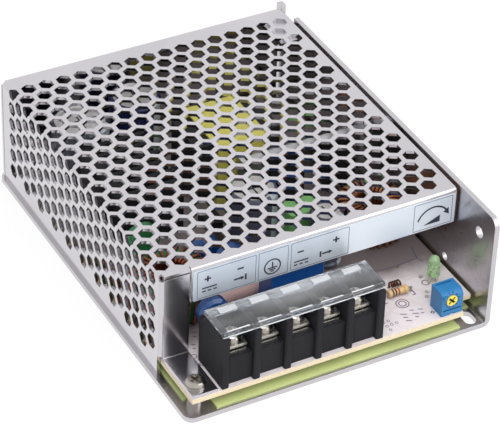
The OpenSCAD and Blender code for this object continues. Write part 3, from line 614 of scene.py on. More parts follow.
@dataclass(frozen=True)
class Dipped(Finish):
    """Dipped coating over a part whose bare legs show below a height."""

    foot: float = 0.0
    gloss: float = 0.22

    def lay(self, graph: Graph) -> Socket:
        """Lay the coating's and the legs' nodes.

        Args:
            graph: Graph of the material.

        Returns:
            The joined shader.
        """
        runs = graph.noise(240.0, 3.0, (1.0, 1.0, 0.5))
        coat = graph.skin(
            Base_Color=self.mottle(graph, runs, 0.8, 0.7),
            Roughness=graph.spread(runs, self.gloss - 0.06, self.gloss + 0.1),
            Coat_Weight=0.4,
            Coat_Roughness=0.08,
            Normal=graph.relief(runs, 0.08, 0.4),
        )
        legs = graph.wire(runs, shade(205, 202, 196), shade(160, 156, 150))
        return graph.cross(graph.calc("LESS_THAN", graph.along(Axis.Z), self.foot * MM), coat, legs)


@dataclass(frozen=True)
class Banded(Finish):
    """Coated resistor with painted bands across it and bare wire at both ends."""

    centre: float = 0.0
    length: float = 6.6
    bands: tuple[tuple[float, Colour], ...] = ()
    band_w: float = 0.5

    def lay(self, graph: Graph) -> Socket:
        """Lay the body's, the bands' and the wires' nodes.

        Args:
            graph: Graph of the material.

        Returns:
            The joined shader.
        """
        run = graph.calc("SUBTRACT", graph.along(Axis.X), self.centre * MM)
        cloud = graph.noise(500.0, 3.0)
        tone = self.mottle(graph, cloud, 0.7, 0.75)
        for middle, colour in self.bands:
            mask = graph.between(run, (middle - self.band_w / 2) * MM, (middle + self.band_w / 2) * MM)
            tone = graph.blend(mask, tone, colour)
        body = graph.skin(
            Base_Color=tone,
            Roughness=graph.spread(cloud, 0.3, 0.45),
            Normal=graph.relief(cloud, 0.03, 0.15),
        )
        wire = graph.wire(cloud, shade(200, 196, 188), shade(150, 146, 138))
        end = graph.calc("GREATER_THAN", graph.calc("ABSOLUTE", run), self.length / 2 * MM)
        return graph.cross(end, body, wire)


@dataclass(frozen=True)
class SlottedRotor(Finish):
    """Moulded rotor whose slot darkens below its face with painted shade."""

    face_y: float = -62.4
    # Colour of the painted shade deep in the slot.
    slot: Colour = (0.03, 0.02, 0.01)
    shadow: Flat = (0.12, 0.5)

    def lay(self, graph: Graph) -> Socket:
        """Lay the rotor's nodes.

        Args:
            graph: Graph of the material.

        Returns:
            The finished shader.
        """
        cloud = graph.noise(900.0, 3.0)
        tone = self.mottle(graph, cloud, 0.7, 0.8)
        # Painted shade: the slot darkens with depth below the face.
        start, end = ((self.face_y + depth) * MM for depth in self.shadow)
        below = graph.spread(graph.along(Axis.Y), 0.0, 1.0, start, end)
        return graph.skin(
            Base_Color=graph.blend(below, tone, self.slot),
            Roughness=graph.spread(cloud, 0.3, 0.45),
            Normal=graph.relief(cloud, 0.02, 0.1),
        )


@dataclass(frozen=True)
class StudioFloor(Finish):
    """White studio floor that the camera and shiny parts see as paper, with the shadow on it."""

    glow: float = 0.86

    def lay(self, graph: Graph) -> Socket:
        """Lay the paper's nodes.

        Args:
            graph: Graph of the material.

        Returns:
            The finished shader.
        """
        fibre = graph.noise(900.0, 3.0)
        paper = graph.skin(
            Base_Color=graph.blend(fibre, self.colour, toned(self.colour, 0.985)),
            Roughness=0.85,
            Specular_IOR_Level=0.1,
        )
        white = graph.add("Emission", {"Color": WHITE, "Strength": 1.0}).outputs[0]
        ray = graph.add("LightPath", {}).outputs
        seen = graph.calc("MAXIMUM", ray["Is Camera Ray"], ray["Is Glossy Ray"])
        seen = graph.calc("MAXIMUM", seen, ray["Is Transmission Ray"])
        return graph.cross(graph.calc("MULTIPLY", seen, self.glow), paper, white)


@dataclass(frozen=True)
class Plane:
    """Flat face that thin pieces are laid on."""

    origin: Point
    along: Point
    up: Point

    def at(self, spot: Flat, lift: float) -> Vector:
        """Return a point in metres, from its place on the face and its height above it in millimetres."""
        along, up = Vector(self.along), Vector(self.up)
        return (Vector(self.origin) + along * spot[0] + up * spot[1] + along.cross(up) * lift) * MM


def shifted(spot: Flat, offset: Flat) -> Flat:
    """Return a place moved by an offset."""
    return spot[0] + offset[0], spot[1] + offset[1]


def arc(centre: Flat, radius: float, start: float, end: float, steps: int) -> list[Flat]:
    """Return points of an arc.

    Args:
        centre: Centre.
        radius: Radius.
        start: First angle in degrees.
        end: Last angle in degrees.
        steps: Number of spans.

    Returns:
        Points from start to end.
    """
    turns = [math.radians(start + (end - start) * i / steps) for i in range(steps + 1)]
    return [(centre[0] + radius * math.cos(turn), centre[1] + radius * math.sin(turn)) for turn in turns]


def rounded_box(low: Flat, high: Flat, radius: float) -> list[Flat]:
    """Return the outline of a box with rounded corners.

    Args:
        low: Lower left corner.
        high: Upper right corner.
        radius: Radius of the corners.

    Returns:
        Points of the outline, counterclockwise.
    """
    (x0, y0), (x1, y1) = low, high
    right, left = x1 - radius, x0 + radius
    upper, lower = y1 - radius, y0 + radius
    corners = [(right, upper), (left, upper), (left, lower), (right, lower)]
    points: list[Flat] = []
    for i, corner in enumerate(corners):
        points += arc(corner, radius, 90.0 * i, 90.0 * (i + 1), CORNER_STEPS)
    return points


def bridge(mesh: bmesh.types.BMesh, rings: list[list[Corner]], closed: bool = False) -> None:
    """Join rings of corners by faces, one ring to the next.

    Args:
        mesh: Mesh that takes the faces.
        rings: Rings of as many corners each.
        closed: Whether the last ring is joined to the first.
    """
    for a, b in zip(rings, rings[1:] + rings[:1] if closed else rings[1:]):
        for k in range(len(a)):
            m = (k + 1) % len(a)
            mesh.faces.new((a[k], a[m], b[m], b[k]))


@dataclass
class Inlay:
    """Thin solids laid on one face: printed lines, rings and plates."""

    plane: Plane
    thick: float = 0.03
    lift: float = 0.002
    mitre: float = 0.3
    mesh: bmesh.types.BMesh = field(default_factory=bmesh.new)

    def plate(self, outline: list[Flat]) -> None:
        """Add a filled outline.

        Args:
            outline: Points of the outline, counterclockwise.
        """
        tops = [self.mesh.verts.new(self.plane.at(spot, self.lift + self.thick)) for spot in outline]
        feet = [self.mesh.verts.new(self.plane.at(spot, self.lift)) for spot in outline]
        self.mesh.faces.new(tops)
        self.mesh.faces.new(feet[::-1])
        bridge(self.mesh, [feet, tops])

    def line(self, points: list[Flat], width: float, closed: bool = False) -> None:
        """Add a line of even width.

        Args:
            points: Points that it passes.
            width: Width of the line.
            closed: Whether it returns to its first point.
        """
        count = len(points)
        sides: list[list[Corner]] = []
        for i, spot in enumerate(points):
            here = Vector(spot)
            before = Vector(points[i - 1]) if i or closed else None
            after = Vector(points[(i + 1) % count]) if i < count - 1 or closed else None
            spans = [span for span in ((before, here), (here, after)) if None not in span]
            ways = [(b - a).normalized() for a, b in spans]
            mean = sum(ways, Vector((0.0, 0.0))).normalized()
            reach = width / 2 / max(self.mitre, mean.dot(ways[0]))
            across = Vector((-mean.y, mean.x)) * reach
            pairs = [(here - across, self.lift), (here + across, self.lift)]
            pairs += [(here + across, self.lift + self.thick), (here - across, self.lift + self.thick)]
            sides.append([self.mesh.verts.new(self.plane.at((p.x, p.y), h)) for p, h in pairs])
        bridge(self.mesh, sides, closed)
        if not closed:
            self.mesh.faces.new(sides[0][::-1])
            self.mesh.faces.new(sides[-1])

    def ring(self, centre: Flat, radius: float, width: float) -> None:
        """Add a ring, by its middle radius."""
        self.line(arc(centre, radius, 0.0, 360.0, RING_STEPS)[:-1], width, closed=True)

    def place(self, name: str, finish: Finish, slot: str) -> None:
        """Turn what was laid into a piece of the object."""
        bmesh.ops.recalc_face_normals(self.mesh, faces=self.mesh.faces)
        settle(self.mesh, name, finish)


def settle(
    mesh: bmesh.types.BMesh, name: str, finish: Finish, smooth: bool = False
) -> bpy.types.Object:
    """Make a finished mesh a piece of the object.

    Args:
        mesh: Mesh in metres; it is freed.
        name: Name of the piece.
        finish: Its finish.
        smooth: Whether its faces are shaded smooth.

    Returns:
        The piece.
    """
    data = bpy.data.meshes.new(name)
    mesh.to_mesh(data)
    mesh.free()
    data.polygons.foreach_set("use_smooth", [smooth] * len(data.polygons))
    piece = bpy.data.objects.new(name, data)
    bpy.context.scene.collection.objects.link(piece)
    finish.put(piece)
    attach(piece, BODY)
    LOG.info("piece %s: %d faces", name, len(data.polygons))
    return piece


def tube(path: list[Vector], radius: float, sides: int = 8) -> bmesh.types.BMesh:
    """Sweep a round section along an open path.

    Args:
        path: Points in millimetres.
        radius: Radius of the section in millimetres.
        sides: Corners of the section.

    Returns:
        The closed tube in metres.
    """
    mesh = bmesh.new()
    rings: list[list[Corner]] = []
    up = Vector(UP)
    for i, spot in enumerate(path):
        way = (path[min(i + 1, len(path) - 1)] - path[max(i - 1, 0)]).normalized()
        up = up - way * up.dot(way) if abs(up.dot(way)) < PARALLEL else way.orthogonal()
        up = up.normalized()
        side = way.cross(up)
        turns = [2 * math.pi * k / sides for k in range(sides)]
        ways = [up * math.cos(turn) + side * math.sin(turn) for turn in turns]
        rings.append([mesh.verts.new((spot + out * radius) * MM) for out in ways])
    bridge(mesh, rings)
    mesh.faces.new(rings[0][::-1])
    mesh.faces.new(rings[-1])
    bmesh.ops.recalc_face_normals(mesh, faces=mesh.faces)
    return mesh


ROLLED_X = Pattern(5200.0, 2.0, (0.04, 1.0, 1.0))
LABEL_SHEEN = Pattern(24.0, 2.0, (0.5, 1.0, 1.4))
ALUMINIUM = SheetMetal("satin_chassis", shade(205, 202, 206), gloss=0.26)
COVER_METAL = SheetMetal("satin_cover", shade(210, 207, 212), gloss=0.13, grain=ROLLED_X, edge=0.14)
SINK_METAL = SheetMetal("bright_bracket", shade(226, 226, 230), gloss=0.3, grain=ROLLED_X)
STEEL = Plating("bright_nickel", shade(176, 171, 164), gloss=0.2)
TIN = Plating("bright_tin", shade(208, 204, 196), gloss=0.26, second=(0.34, 0.31, 0.27))
BLACK = Moulding("charcoal_moulding", shade(34, 34, 38), gloss=0.5, shine=0.1)
BODY_BLACK = Moulding("black_package", shade(32, 32, 34), gloss=0.5, shine=0.3)
# Black of the bridge's sink: partly its anodised finish, partly painted shade filling a deep shadow.
BLACK_FINS_AND_SHADE = Moulding("black_fins_and_painted_shade", shade(27, 27, 30), gloss=0.5, shine=0.3)
TRIMMER_BLUE = Moulding("bright_blue_moulding", shade(30, 108, 160), gloss=0.34, depth=0.012)
BOX_BLUE = Moulding("deep_blue_moulding", shade(28, 84, 158), gloss=0.3, depth=0.012)
ROTOR_YELLOW = SlottedRotor("yellow_rotor", shade(236, 214, 84))
CLEAR = ClearMoulding("clear_lid", shade(246, 249, 252))
LENS = Surface(
    "green_lens_moulding", shade(186, 226, 172), fade=(1.4, 0.05), share=(0.0, 1.0, 0.0, 1.0),
    cloud=Pattern(260.0, 2.0), gloss=0.16, uneven=(-0.06, 0.06), clear=0.72, depth=0.004,
)
BOARD = Laminate("pale_laminate", shade(214, 206, 208))
LIME = Surface(
    "lime_film", shade(188, 199, 134), fade=(1.15, 0.0), cloud=Pattern(60.0), gloss=0.35,
    uneven=(-0.07, 0.07), milky=0.2, depth=0.05, edge=0.1,
)
COPPER = Enamel("copper_enamel", shade(214, 140, 84))
DARK_WIRE = Enamel("dark_copper_enamel", shade(122, 74, 48), second=(0.05, 0.025, 0.015))
RED_WIRE = Enamel("red_enamel", shade(176, 92, 58), second=(0.14, 0.04, 0.02))
TAPE = WoundTape("yellow_wound_tape", shade(234, 228, 108))
FERRITE = Moulding("fired_ferrite", shade(38, 38, 40), gloss=0.6, depth=0.04, shine=0.3)
NAVY_CORE = Moulding("navy_core_paint", shade(30, 44, 96), gloss=0.4)
GREEN_CORE = Moulding("green_core_paint", shade(46, 112, 62), gloss=0.4)
CERAMIC = Moulding("pink_ceramic_tube", shade(224, 190, 184), gloss=0.4)
LABEL = Surface(
    "silver_label", shade(206, 216, 230), second=shade(232, 238, 244), cloud=LABEL_SHEEN,
    grain=Pattern(5200.0, 2.0), grainy=True, gloss=0.36, uneven=(-0.06, 0.06), metallic=0.55, depth=0.003,
)
PRINT = Ink("slate_ink", shade(34, 38, 52), second=shade(62, 68, 84))
LINE_PRINT = Ink("grey_blue_ink", shade(98, 110, 132), second=shade(128, 140, 158))
BOARD_PRINT = Ink("violet_ink", shade(86, 80, 104), second=shade(130, 122, 140))
# Navy ink of the printed ticks, also used for the painted shadow lines in the trimmer's grooves.
TICK_INK_AND_GROOVE_SHADE = Ink("navy_ink_and_groove_shade", shade(10, 32, 66), second=shade(16, 46, 88))
FLOOR = StudioFloor("studio_paper", (0.9, 0.9, 0.9))


@dataclass
class Assembly:
    """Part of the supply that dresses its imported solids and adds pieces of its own."""

    frame: dict

    def dress(self) -> None:
        """Put the finishes on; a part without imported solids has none."""

    def build(self) -> None:
        """Add the pieces that the solids leave out; a plain part has none."""

    def coat(self, finish: Finish, *names: str) -> None:
        """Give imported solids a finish.

        Args:
            finish: Finish to put on.
            names: Names of the solids.
        """
        for name in names:
            finish.put(self.frame["nodes"][name])
            LOG.info("finish %s on %s", finish.name, name)


@dataclass
class Case(Assembly):
    """Folded chassis, perforated cover and the insulating sheet between base and board."""

    def dress(self) -> None:
        """Put the sheet metal and film finishes on."""
        self.coat(ALUMINIUM, "chassis")
        self.coat(COVER_METAL, "cover")
        self.coat(LIME, "insulating_sheet")


class Mark(Enum):
    """Signs printed on the label."""

    PLUS = "plus"
    MINUS = "minus"
    DIRECT = "direct current"
    EARTH = "earth"
    TURN = "turn to raise"
    INWARD = "into the supply"
    OUTWARD = "out of the supply"


STROKES: dict[Mark, tuple[tuple[Flat, Flat], ...]] = {
    Mark.PLUS: (((-1.0, 0.0), (1.0, 0.0)), ((0.0, 0.27), (0.0, 1.0)), ((0.0, -1.0), (0.0, -0.27))),
    Mark.MINUS: (((-1.0, 0.0), (1.0, 0.0)),),
    Mark.DIRECT: (
        ((-2.3, 0.5), (2.3, 0.5)), ((-2.3, -0.6), (-1.2, -0.6)),
        ((-0.55, -0.6), (0.55, -0.6)), ((1.2, -0.6), (2.3, -0.6)),
    ),
    Mark.EARTH: (
        ((0.0, 1.6), (0.0, -0.18)), ((-1.5, -0.4), (1.5, -0.4)),
        ((-0.95, -1.0), (0.95, -1.0)), ((-0.45, -1.6), (0.45, -1.6)),
    ),
    Mark.INWARD: (((1.9, -1.0), (1.9, 1.0)), ((-1.8, 0.0), (0.4, 0.0))),
    Mark.OUTWARD: (((-2.3, -1.0), (-2.3, 1.0)), ((-1.8, 0.0), (0.4, 0.0))),
}
ARROW_HEAD: tuple[Flat, ...] = ((0.4, -0.65), (1.5, 0.0), (0.4, 0.65))
FILLED: dict[Mark, tuple[tuple[Flat, ...], ...]] = {
    Mark.INWARD: (ARROW_HEAD,),
    Mark.OUTWARD: (ARROW_HEAD,),
    Mark.TURN: (((5.2, -0.3), (4.95, 2.1), (3.2, 1.0)), ((-3.2, -2.0), (2.2, -2.0), (2.2, 0.3))),
}


@dataclass
class LabelStrip(Assembly):
    """Silvered film on the cover's front strip, with fields and signs printed on it."""

    face_y: float = -44.7
    left: float = -37.9
    right: float = 46.5
    foot: float = 25.4
    head: float = 35.7
    corner: float = 0.4
    film: float = 0.1
    ink_lift: float = 0.005
    thin: float = 0.18
    fine: float = 0.432
    bold: float = 0.54
    fields: tuple[Flat, ...] = ((-36.6, -18.4), (-17.5, -8.2), (-7.2, 11.3), (32.8, 45.5))
    field_foot: float = 25.9
    field_head: float = 35.2
    field_corner: float = 0.3
    earth_r: float = 2.5
    sweep_spot: Flat = (-0.1, -1.6)
    sweep_r: float = 5.3
    sweep_turn: Flat = (163.0, 37.0)
    signs: tuple[tuple[Mark, Flat], ...] = (
        (Mark.PLUS, (-33.4, 32.1)),
        (Mark.MINUS, (-23.2, 32.2)),
        (Mark.DIRECT, (-32.8, 28.6)),
        (Mark.INWARD, (-23.4, 28.8)),
        (Mark.EARTH, (-13.1, 29.4)),
        (Mark.MINUS, (-4.2, 31.6)),
        (Mark.PLUS, (7.2, 32.1)),
        (Mark.DIRECT, (-3.9, 27.9)),
        (Mark.OUTWARD, (4.6, 28.5)),
        (Mark.TURN, (39.4, 29.2)),
    )

    def build(self) -> None:
        """Lay the film and print its lines and signs."""
        face = Plane((0.0, self.face_y, 0.0), EAST, UP)
        film = Inlay(face, thick=self.film, lift=0.0)
        film.plate(rounded_box((self.left, self.foot), (self.right, self.head), self.corner))
        film.place("label_film", LABEL, "cover_sheet")
        lines = Inlay(face, lift=self.film + self.ink_lift)
        for x0, x1 in self.fields:
            box = rounded_box((x0, self.field_foot), (x1, self.field_head), self.field_corner)
            lines.line(box, self.thin, closed=True)
        lines.place("label_fields", LINE_PRINT, "cover_sheet")
        signs = Inlay(face, lift=self.film + self.ink_lift)
        for mark, spot in self.signs:
            self.draw(signs, mark, spot)
        signs.place("label_signs", PRINT, "cover_sheet")

    def draw(self, signs: Inlay, mark: Mark, spot: Flat) -> None:
        """Print one sign.

        Args:
            signs: Inlay that takes it.
            mark: Sign to print.
            spot: Its middle.
        """
        width = self.fine if mark in (Mark.DIRECT, Mark.EARTH) else self.bold
        if mark is Mark.EARTH:
            signs.ring(spot, self.earth_r, width)
        if mark is Mark.TURN:
            middle = shifted(spot, self.sweep_spot)
            signs.line(arc(middle, self.sweep_r, *self.sweep_turn, SWEEP_STEPS), width)
        for ends in STROKES.get(mark, ()):
            signs.line([shifted(spot, end) for end in ends], width)
        for outline in FILLED.get(mark, ()):
            signs.plate([shifted(spot, corner) for corner in outline])


@dataclass
class Board(Assembly):
    """Circuit board on its posts, with printed lines and soldered pads.

    A ring is given by its middle and radius, and a code, a short slanting bar, by its start and length.
    """

    top: float = 7.2
    ink_h: float = 0.02
    line: float = 0.3
    dot: Flat = (0.42, 0.16)
    code_way: Flat = (0.8, -0.35)
    code_w: float = 0.34
    pad: Flat = (0.45, 0.34)
    pad_h: float = 0.05
    traces: tuple[tuple[Flat, ...], ...] = (
        ((20.4, -35.1), (26.1, -35.6), (34.0, -36.0), (41.3, -35.4), (42.2, -37.6)),
        ((41.3, -35.4), (42.8, -29.8)),
        ((23.0, -46.2), (22.0, -46.2), (22.0, -49.8), (23.0, -49.8)),
        ((31.2, -46.2), (32.2, -46.2), (32.2, -49.8), (31.2, -49.8)),
    )
    pads: tuple[Flat, ...] = ((33.9, -36.4), (37.7, -43.6), (35.8, -50.3), (34.5, -52.2), (32.3, -59.1))
    dots: tuple[Flat, ...] = (
        (17.0, -52.6), (18.6, -52.5), (17.1, -54.3), (18.7, -54.2), (17.2, -57.0), (18.8, -56.9),
        (17.3, -58.8), (18.9, -58.7), (17.4, -60.6), (20.6, -58.6),
    )
    rings: tuple[tuple[Flat, float], ...] = (
        ((37.6, -46.5), 1.1), ((44.2, -41.4), 1.0), ((26.5, -51.9), 1.9), ((26.5, -51.9), 1.1),
        ((-38.0, -46.4), 0.8), ((-37.6, -50.4), 0.6),
    )
    codes: tuple[Point, ...] = (
        (23.4, -55.8, 2.2), (23.4, -57.4, 1.6), (23.4, -59.0, 2.0), (26.8, -55.4, 1.4), (26.8, -57.0, 2.2),
        (26.8, -58.6, 1.2), (29.2, -56.0, 1.6), (29.2, -57.8, 1.0), (-36.4, -41.6, 1.4), (-36.8, -43.2, 1.0),
        (-33.6, -36.8, 1.6), (-34.4, -38.6, 1.2),
    )

    def build(self) -> None:
        """Print the board's lines and lay its pads."""
        face = Plane((0.0, 0.0, self.top), EAST, NORTH)
        ink = Inlay(face, thick=self.ink_h)
        for points in self.traces:
            ink.line(list(points), self.line)
        for spot in self.dots:
            ink.ring(spot, *self.dot)
        for x, y, length in self.codes:
            reach = (length * self.code_way[0], length * self.code_way[1])
            ink.line([(x, y), shifted((x, y), reach)], self.code_w)
        for spot, radius in self.rings:
            ink.ring(spot, radius, self.line)
        ink.place("board_print", BOARD_PRINT, "board")
        solder = Inlay(face, thick=self.pad_h)
        for spot in self.pads:
            solder.ring(spot, *self.pad)
        solder.place("board_pads", TIN, "board")

    def dress(self) -> None:
        """Put the laminate and plated finishes on."""
        self.coat(BOARD, "circuit_board")
        self.coat(STEEL, "standoffs")


@dataclass
class BoardScrews(Assembly):
    """Washer-head screws that hold the board, the first one through the cover's tab."""

    spots: tuple[Flat, ...] = ((-43.8, -58.3), (-41.9, 54.5), (42.1, 54.5), (42.4, -4.6))
    seat: float = 7.2
    stack: float = 2.6
    shank_r: float = 1.25
    profile: tuple[Flat, ...] = (
        (3.0, 0.0), (3.0, 0.5), (2.75, 0.55), (2.8, 1.1), (2.6, 1.65), (2.2, 1.98), (1.8, 2.1),
    )
    arm: Flat = (1.55, 0.42)
    recess: float = 1.0
    turn: float = 20.0
    sides: int = 40

    def build(self) -> None:
        """Turn the screws in place of the plain ones."""
        low, high = (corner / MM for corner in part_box("board_screws"))
        mesh = bmesh.new()
        for i, spot in enumerate(self.spots):
            seat = self.seat if i else high.z - self.stack
            self.screw(mesh, Vector((*spot, seat)), low.z - seat)
        bmesh.ops.recalc_face_normals(mesh, faces=mesh.faces)
        piece = settle(mesh, "washer_screws", STEEL)
        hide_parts("board_screws")

    def screw(self, mesh: bmesh.types.BMesh, seat: Vector, foot: float) -> None:
        """Turn one screw and sink its cross recess.

        Args:
            mesh: Mesh that takes it.
            seat: Middle of its seat, in millimetres.
            foot: Height of the shank's end above the seat, in millimetres.
        """
        outline = [(self.shank_r, foot), (self.shank_r, 0.0), *self.profile]
        rings: list[list[Corner]] = []
        for r, z in outline:
            circle = arc((0.0, 0.0), r, 0.0, 360.0, self.sides)[:-1]
            rings.append([mesh.verts.new((seat + Vector((x, y, z))) * MM) for x, y in circle])
        bridge(mesh, rings)
        mesh.faces.new(rings[0][::-1])
        top = outline[-1][1]
        rim = [mesh.verts.new((seat + Vector((*spot, top))) * MM) for spot in self.cross()]
        floor = [mesh.verts.new((seat + Vector((*spot, top - self.recess))) * MM) for spot in self.cross()]
        loops = [(ring[k - 1], ring[k]) for ring in (rings[-1], rim) for k in range(len(ring))]
        edges = [mesh.edges.get(pair) or mesh.edges.new(pair) for pair in loops]
        bmesh.ops.triangle_fill(mesh, use_beauty=True, edges=edges)
        for k in range(len(rim)):
            mesh.faces.new((rim[k - 1], rim[k], floor[k], floor[k - 1]))
        mesh.faces.new(floor)

    def cross(self) -> list[Flat]:
        """Return the outline of the cross recess.

        Returns:
            Its twelve corners, counterclockwise.
        """
        reach, half = self.arm
        corners: list[Flat] = []
        for i in range(4):
            way = math.radians(self.turn + 90.0 * i)
            east, north = math.cos(way), math.sin(way)
            for x, y in ((half, -half), (reach, -half), (reach, half)):
                corners.append((x * east - y * north, x * north + y * east))
        return corners


@dataclass
class Terminals(Assembly):
    """Barrier block with its plates, clamps and screws, under the clear lid."""

    poles: int = 5

    def dress(self) -> None:
        """Put the moulded, tinned and clear finishes on."""
        self.coat(BLACK, "terminal_block")
        self.coat(TIN, "terminal_plates", *(f"clamp_{i + 1}" for i in range(self.poles)))
        self.coat(STEEL, *(f"terminal_screw_{i + 1}" for i in range(self.poles)))
        self.coat(CLEAR, "terminal_lid")


@dataclass
class Adjuster(Assembly):
    """Trimmer with its rotor, the scale printed around it, and painted shadow lines along two grooves.

    Each groove is given by the X of both its ends, its Y and its Z.
    """

    face_y: float = -62.2
    axis: Flat = (36.4, 12.3)
    bend_z: float = 13.0
    bend_r: float = 2.0
    scale_r: float = 2.35
    tick: Flat = (0.5, 0.34)
    ticks: int = 12
    groove_w: float = 0.44
    low_groove: Four = (33.8, 39.6, -61.7, 9.05)
    top_groove: Four = (33.9, 38.9, -57.05, 14.5)

    def build(self) -> None:
        """Print the ring of ticks around the rotor and the shadow in both grooves."""
        ink = Inlay(self.face_at(Vector(self.axis)))
        # Painted shadow: a dark line laid along each groove.
        for (x0, x1, y, z), up in ((self.low_groove, UP), (self.top_groove, NORTH)):
            ink.plane = Plane((0.0, y, z), EAST, up)
            ink.line([(x0, 0.0), (x1, 0.0)], self.groove_w)
        for i in range(self.ticks):
            turn = 2 * math.pi * (i + 0.5) / self.ticks
            way = Vector((math.cos(turn), math.sin(turn)))
            ink.plane = self.face_at(Vector(self.axis) + way * self.scale_r)
            ends = [way * reach for reach in (-self.tick[0] / 2, self.tick[0] / 2)]
            ink.line([(end.x, end.y) for end in ends], self.tick[1])
        ink.place("trimmer_scale_and_groove_shade", TICK_INK_AND_GROOVE_SHADE, "blue_plastic")

    def face_at(self, spot: Vector) -> Plane:
        """Return the plane that touches the front at a place, also on its rounded top.

        Args:
            spot: Place across and up, in millimetres.

        Returns:
            The plane with its origin at that place.
        """
        lean = math.asin(min(1.0, max(0.0, spot.y - self.bend_z) / self.bend_r))
        depth = self.face_y + self.bend_r * (1 - math.cos(lean))
        return Plane((spot.x, depth, spot.y), EAST, (0.0, math.sin(lean), math.cos(lean)))

    def dress(self) -> None:
        """Put the two moulded finishes on."""
        self.coat(TRIMMER_BLUE, "trimmer_body")
        self.coat(ROTOR_YELLOW, "trimmer_rotor")


@dataclass
class Lamp(Assembly):
    """Indicator lamp on two wires, with the metal frame inside its lens."""

    centre: Flat = (39.6, -47.1)
    foot: float = 10.3
    anvil_z: float = 13.2
    post_drop: float = 0.4
    foot_x: float = 0.75
    top_x: float = 0.3
    bend_h: float = 0.8
    wire_r: float = 0.28

    def build(self) -> None:
        """Set the post and the anvil inside the lens."""
        middle, y = self.centre
        post_z = self.anvil_z - self.post_drop
        for side, name, top in ((-1, "lamp_post", post_z), (1, "lamp_anvil", self.anvil_z)):
            path = [Vector((middle + side * self.foot_x, y, z)) for z in (self.foot, top - self.bend_h)]
            path.append(Vector((middle + side * self.top_x, y, top)))
            settle(tube(path, self.wire_r), name, TIN, smooth=True)

    def dress(self) -> None:
        """Put the lens and wire finishes on."""
        self.coat(LENS, "indicator_lens")
        self.coat(TIN, "indicator_leads")


@dataclass
class Resistors(Assembly):
    """The banded resistor and the small wire-wound one behind it."""

    band_x: float = 27.1
    coil_l: float = 3.4
    coil_d: float = 2.1
    wire_d: float = 0.55
    loops: int = 4
    steps: int = 20

    def coil_path(self) -> list[Vector]:
        """Return the small coil's wire from one solder hole to the other.

        Returns:
            Points in millimetres.
        """
        low, high = (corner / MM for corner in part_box("small_resistor"))
        middle = (low + high) / 2
        middle.z = high.z - self.coil_d / 2
        foot, reach = low.z + self.wire_d / 2, (self.coil_d - self.wire_d) / 2
        count = self.loops * self.steps
        points: list[Vector] = []
        for i in range(count + 1):
            turn = 2 * math.pi * i / self.steps - math.pi / 2
            run = (i / count - 0.5) * self.coil_l
            points.append(middle + Vector((run, reach * math.cos(turn), reach * math.sin(turn))))
        ends = [Vector((spot.x, spot.y, foot)) for spot in (points[0], points[-1])]
        ends[0].x -= self.wire_d
        ends[1].x += self.wire_d
        return [ends[0], *points, ends[1]]

    def build(self) -> None:
        """Wind the small resistor's coil in place of its plain solid."""
        coil = tube(self.coil_path(), self.wire_d / 2)
        piece = settle(coil, "small_coil", DARK_WIRE, smooth=True)
        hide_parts("small_resistor")

    def dress(self) -> None:
        """Put the banded finish on."""
        dark, red, gold = shade(58, 34, 28), shade(140, 52, 36), shade(190, 150, 70)
        bands = ((-1.9, dark), (-0.9, dark), (0.1, red), (1.9, gold))
        tan = Banded("tan_resistor", shade(212, 178, 132), centre=self.band_x, bands=bands)
        self.coat(tan, "band_resistor")


@dataclass
class ChokeWire:
    """One length of round wire wound around a flat-lying ring core, with a small gap between its ends."""

    name: str
    node: str
    core: str
    finish: Finish
    slot: str
    bore_d: float = 11.0
    wire_d: float = 1.0
    fit: float = 0.1
    turns: int = 27
    gap: float = 0.5
    steps: int = 36

    def __post_init__(self) -> None:
        """Measure the core that the wire goes around."""
        low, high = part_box(self.core)
        self.middle = (low + high) / 2 / MM
        self.core_d = (high.x - low.x) / MM
        self.core_h = (high.z - low.z) / MM

    def section(self) -> list[Flat]:
        """Space one turn evenly around the core's section.

        Returns:
            Points of the turn, across and up from the section's middle.
        """
        half_w = (self.core_d - self.bore_d) / 4
        half_h = self.core_h / 2
        round_r = self.wire_d / 2 + self.fit
        low, high = (-half_w - round_r, -half_h - round_r), (half_w + round_r, half_h + round_r)
        outline = rounded_box(low, high, round_r)
        spans = [(a, b, math.dist(a, b)) for a, b in zip(outline, outline[1:] + outline[:1])]
        around = sum(length for _, _, length in spans)
        points: list[Flat] = []
        for k in range(self.steps):
            left = around * k / self.steps
            for a, b, length in spans:
                if left <= length:
                    share = left / length
                    points.append((a[0] + (b[0] - a[0]) * share, a[1] + (b[1] - a[1]) * share))
                    break
                left -= length
        return points

    def path(self) -> list[Vector]:
        """Lead the wire turn by turn around the ring.

        Returns:
            Points in millimetres.
        """
        section = self.section()
        middle_r = (self.core_d + self.bore_d) / 4
        count = self.turns * self.steps
        points: list[Vector] = []
        for i in range(count + 1):
            across, up = section[i % self.steps]
            turn = 2 * math.pi * (i / count) * (1 - self.gap / self.turns)
            r = middle_r + across
            points.append(self.middle + Vector((r * math.cos(turn), r * math.sin(turn), up)))
        return points

    def build(self) -> None:
        """Wind the wire in place of the plain rings."""
        piece = settle(tube(self.path(), self.wire_d / 2), self.name, self.finish, smooth=True)
        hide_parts(self.node)


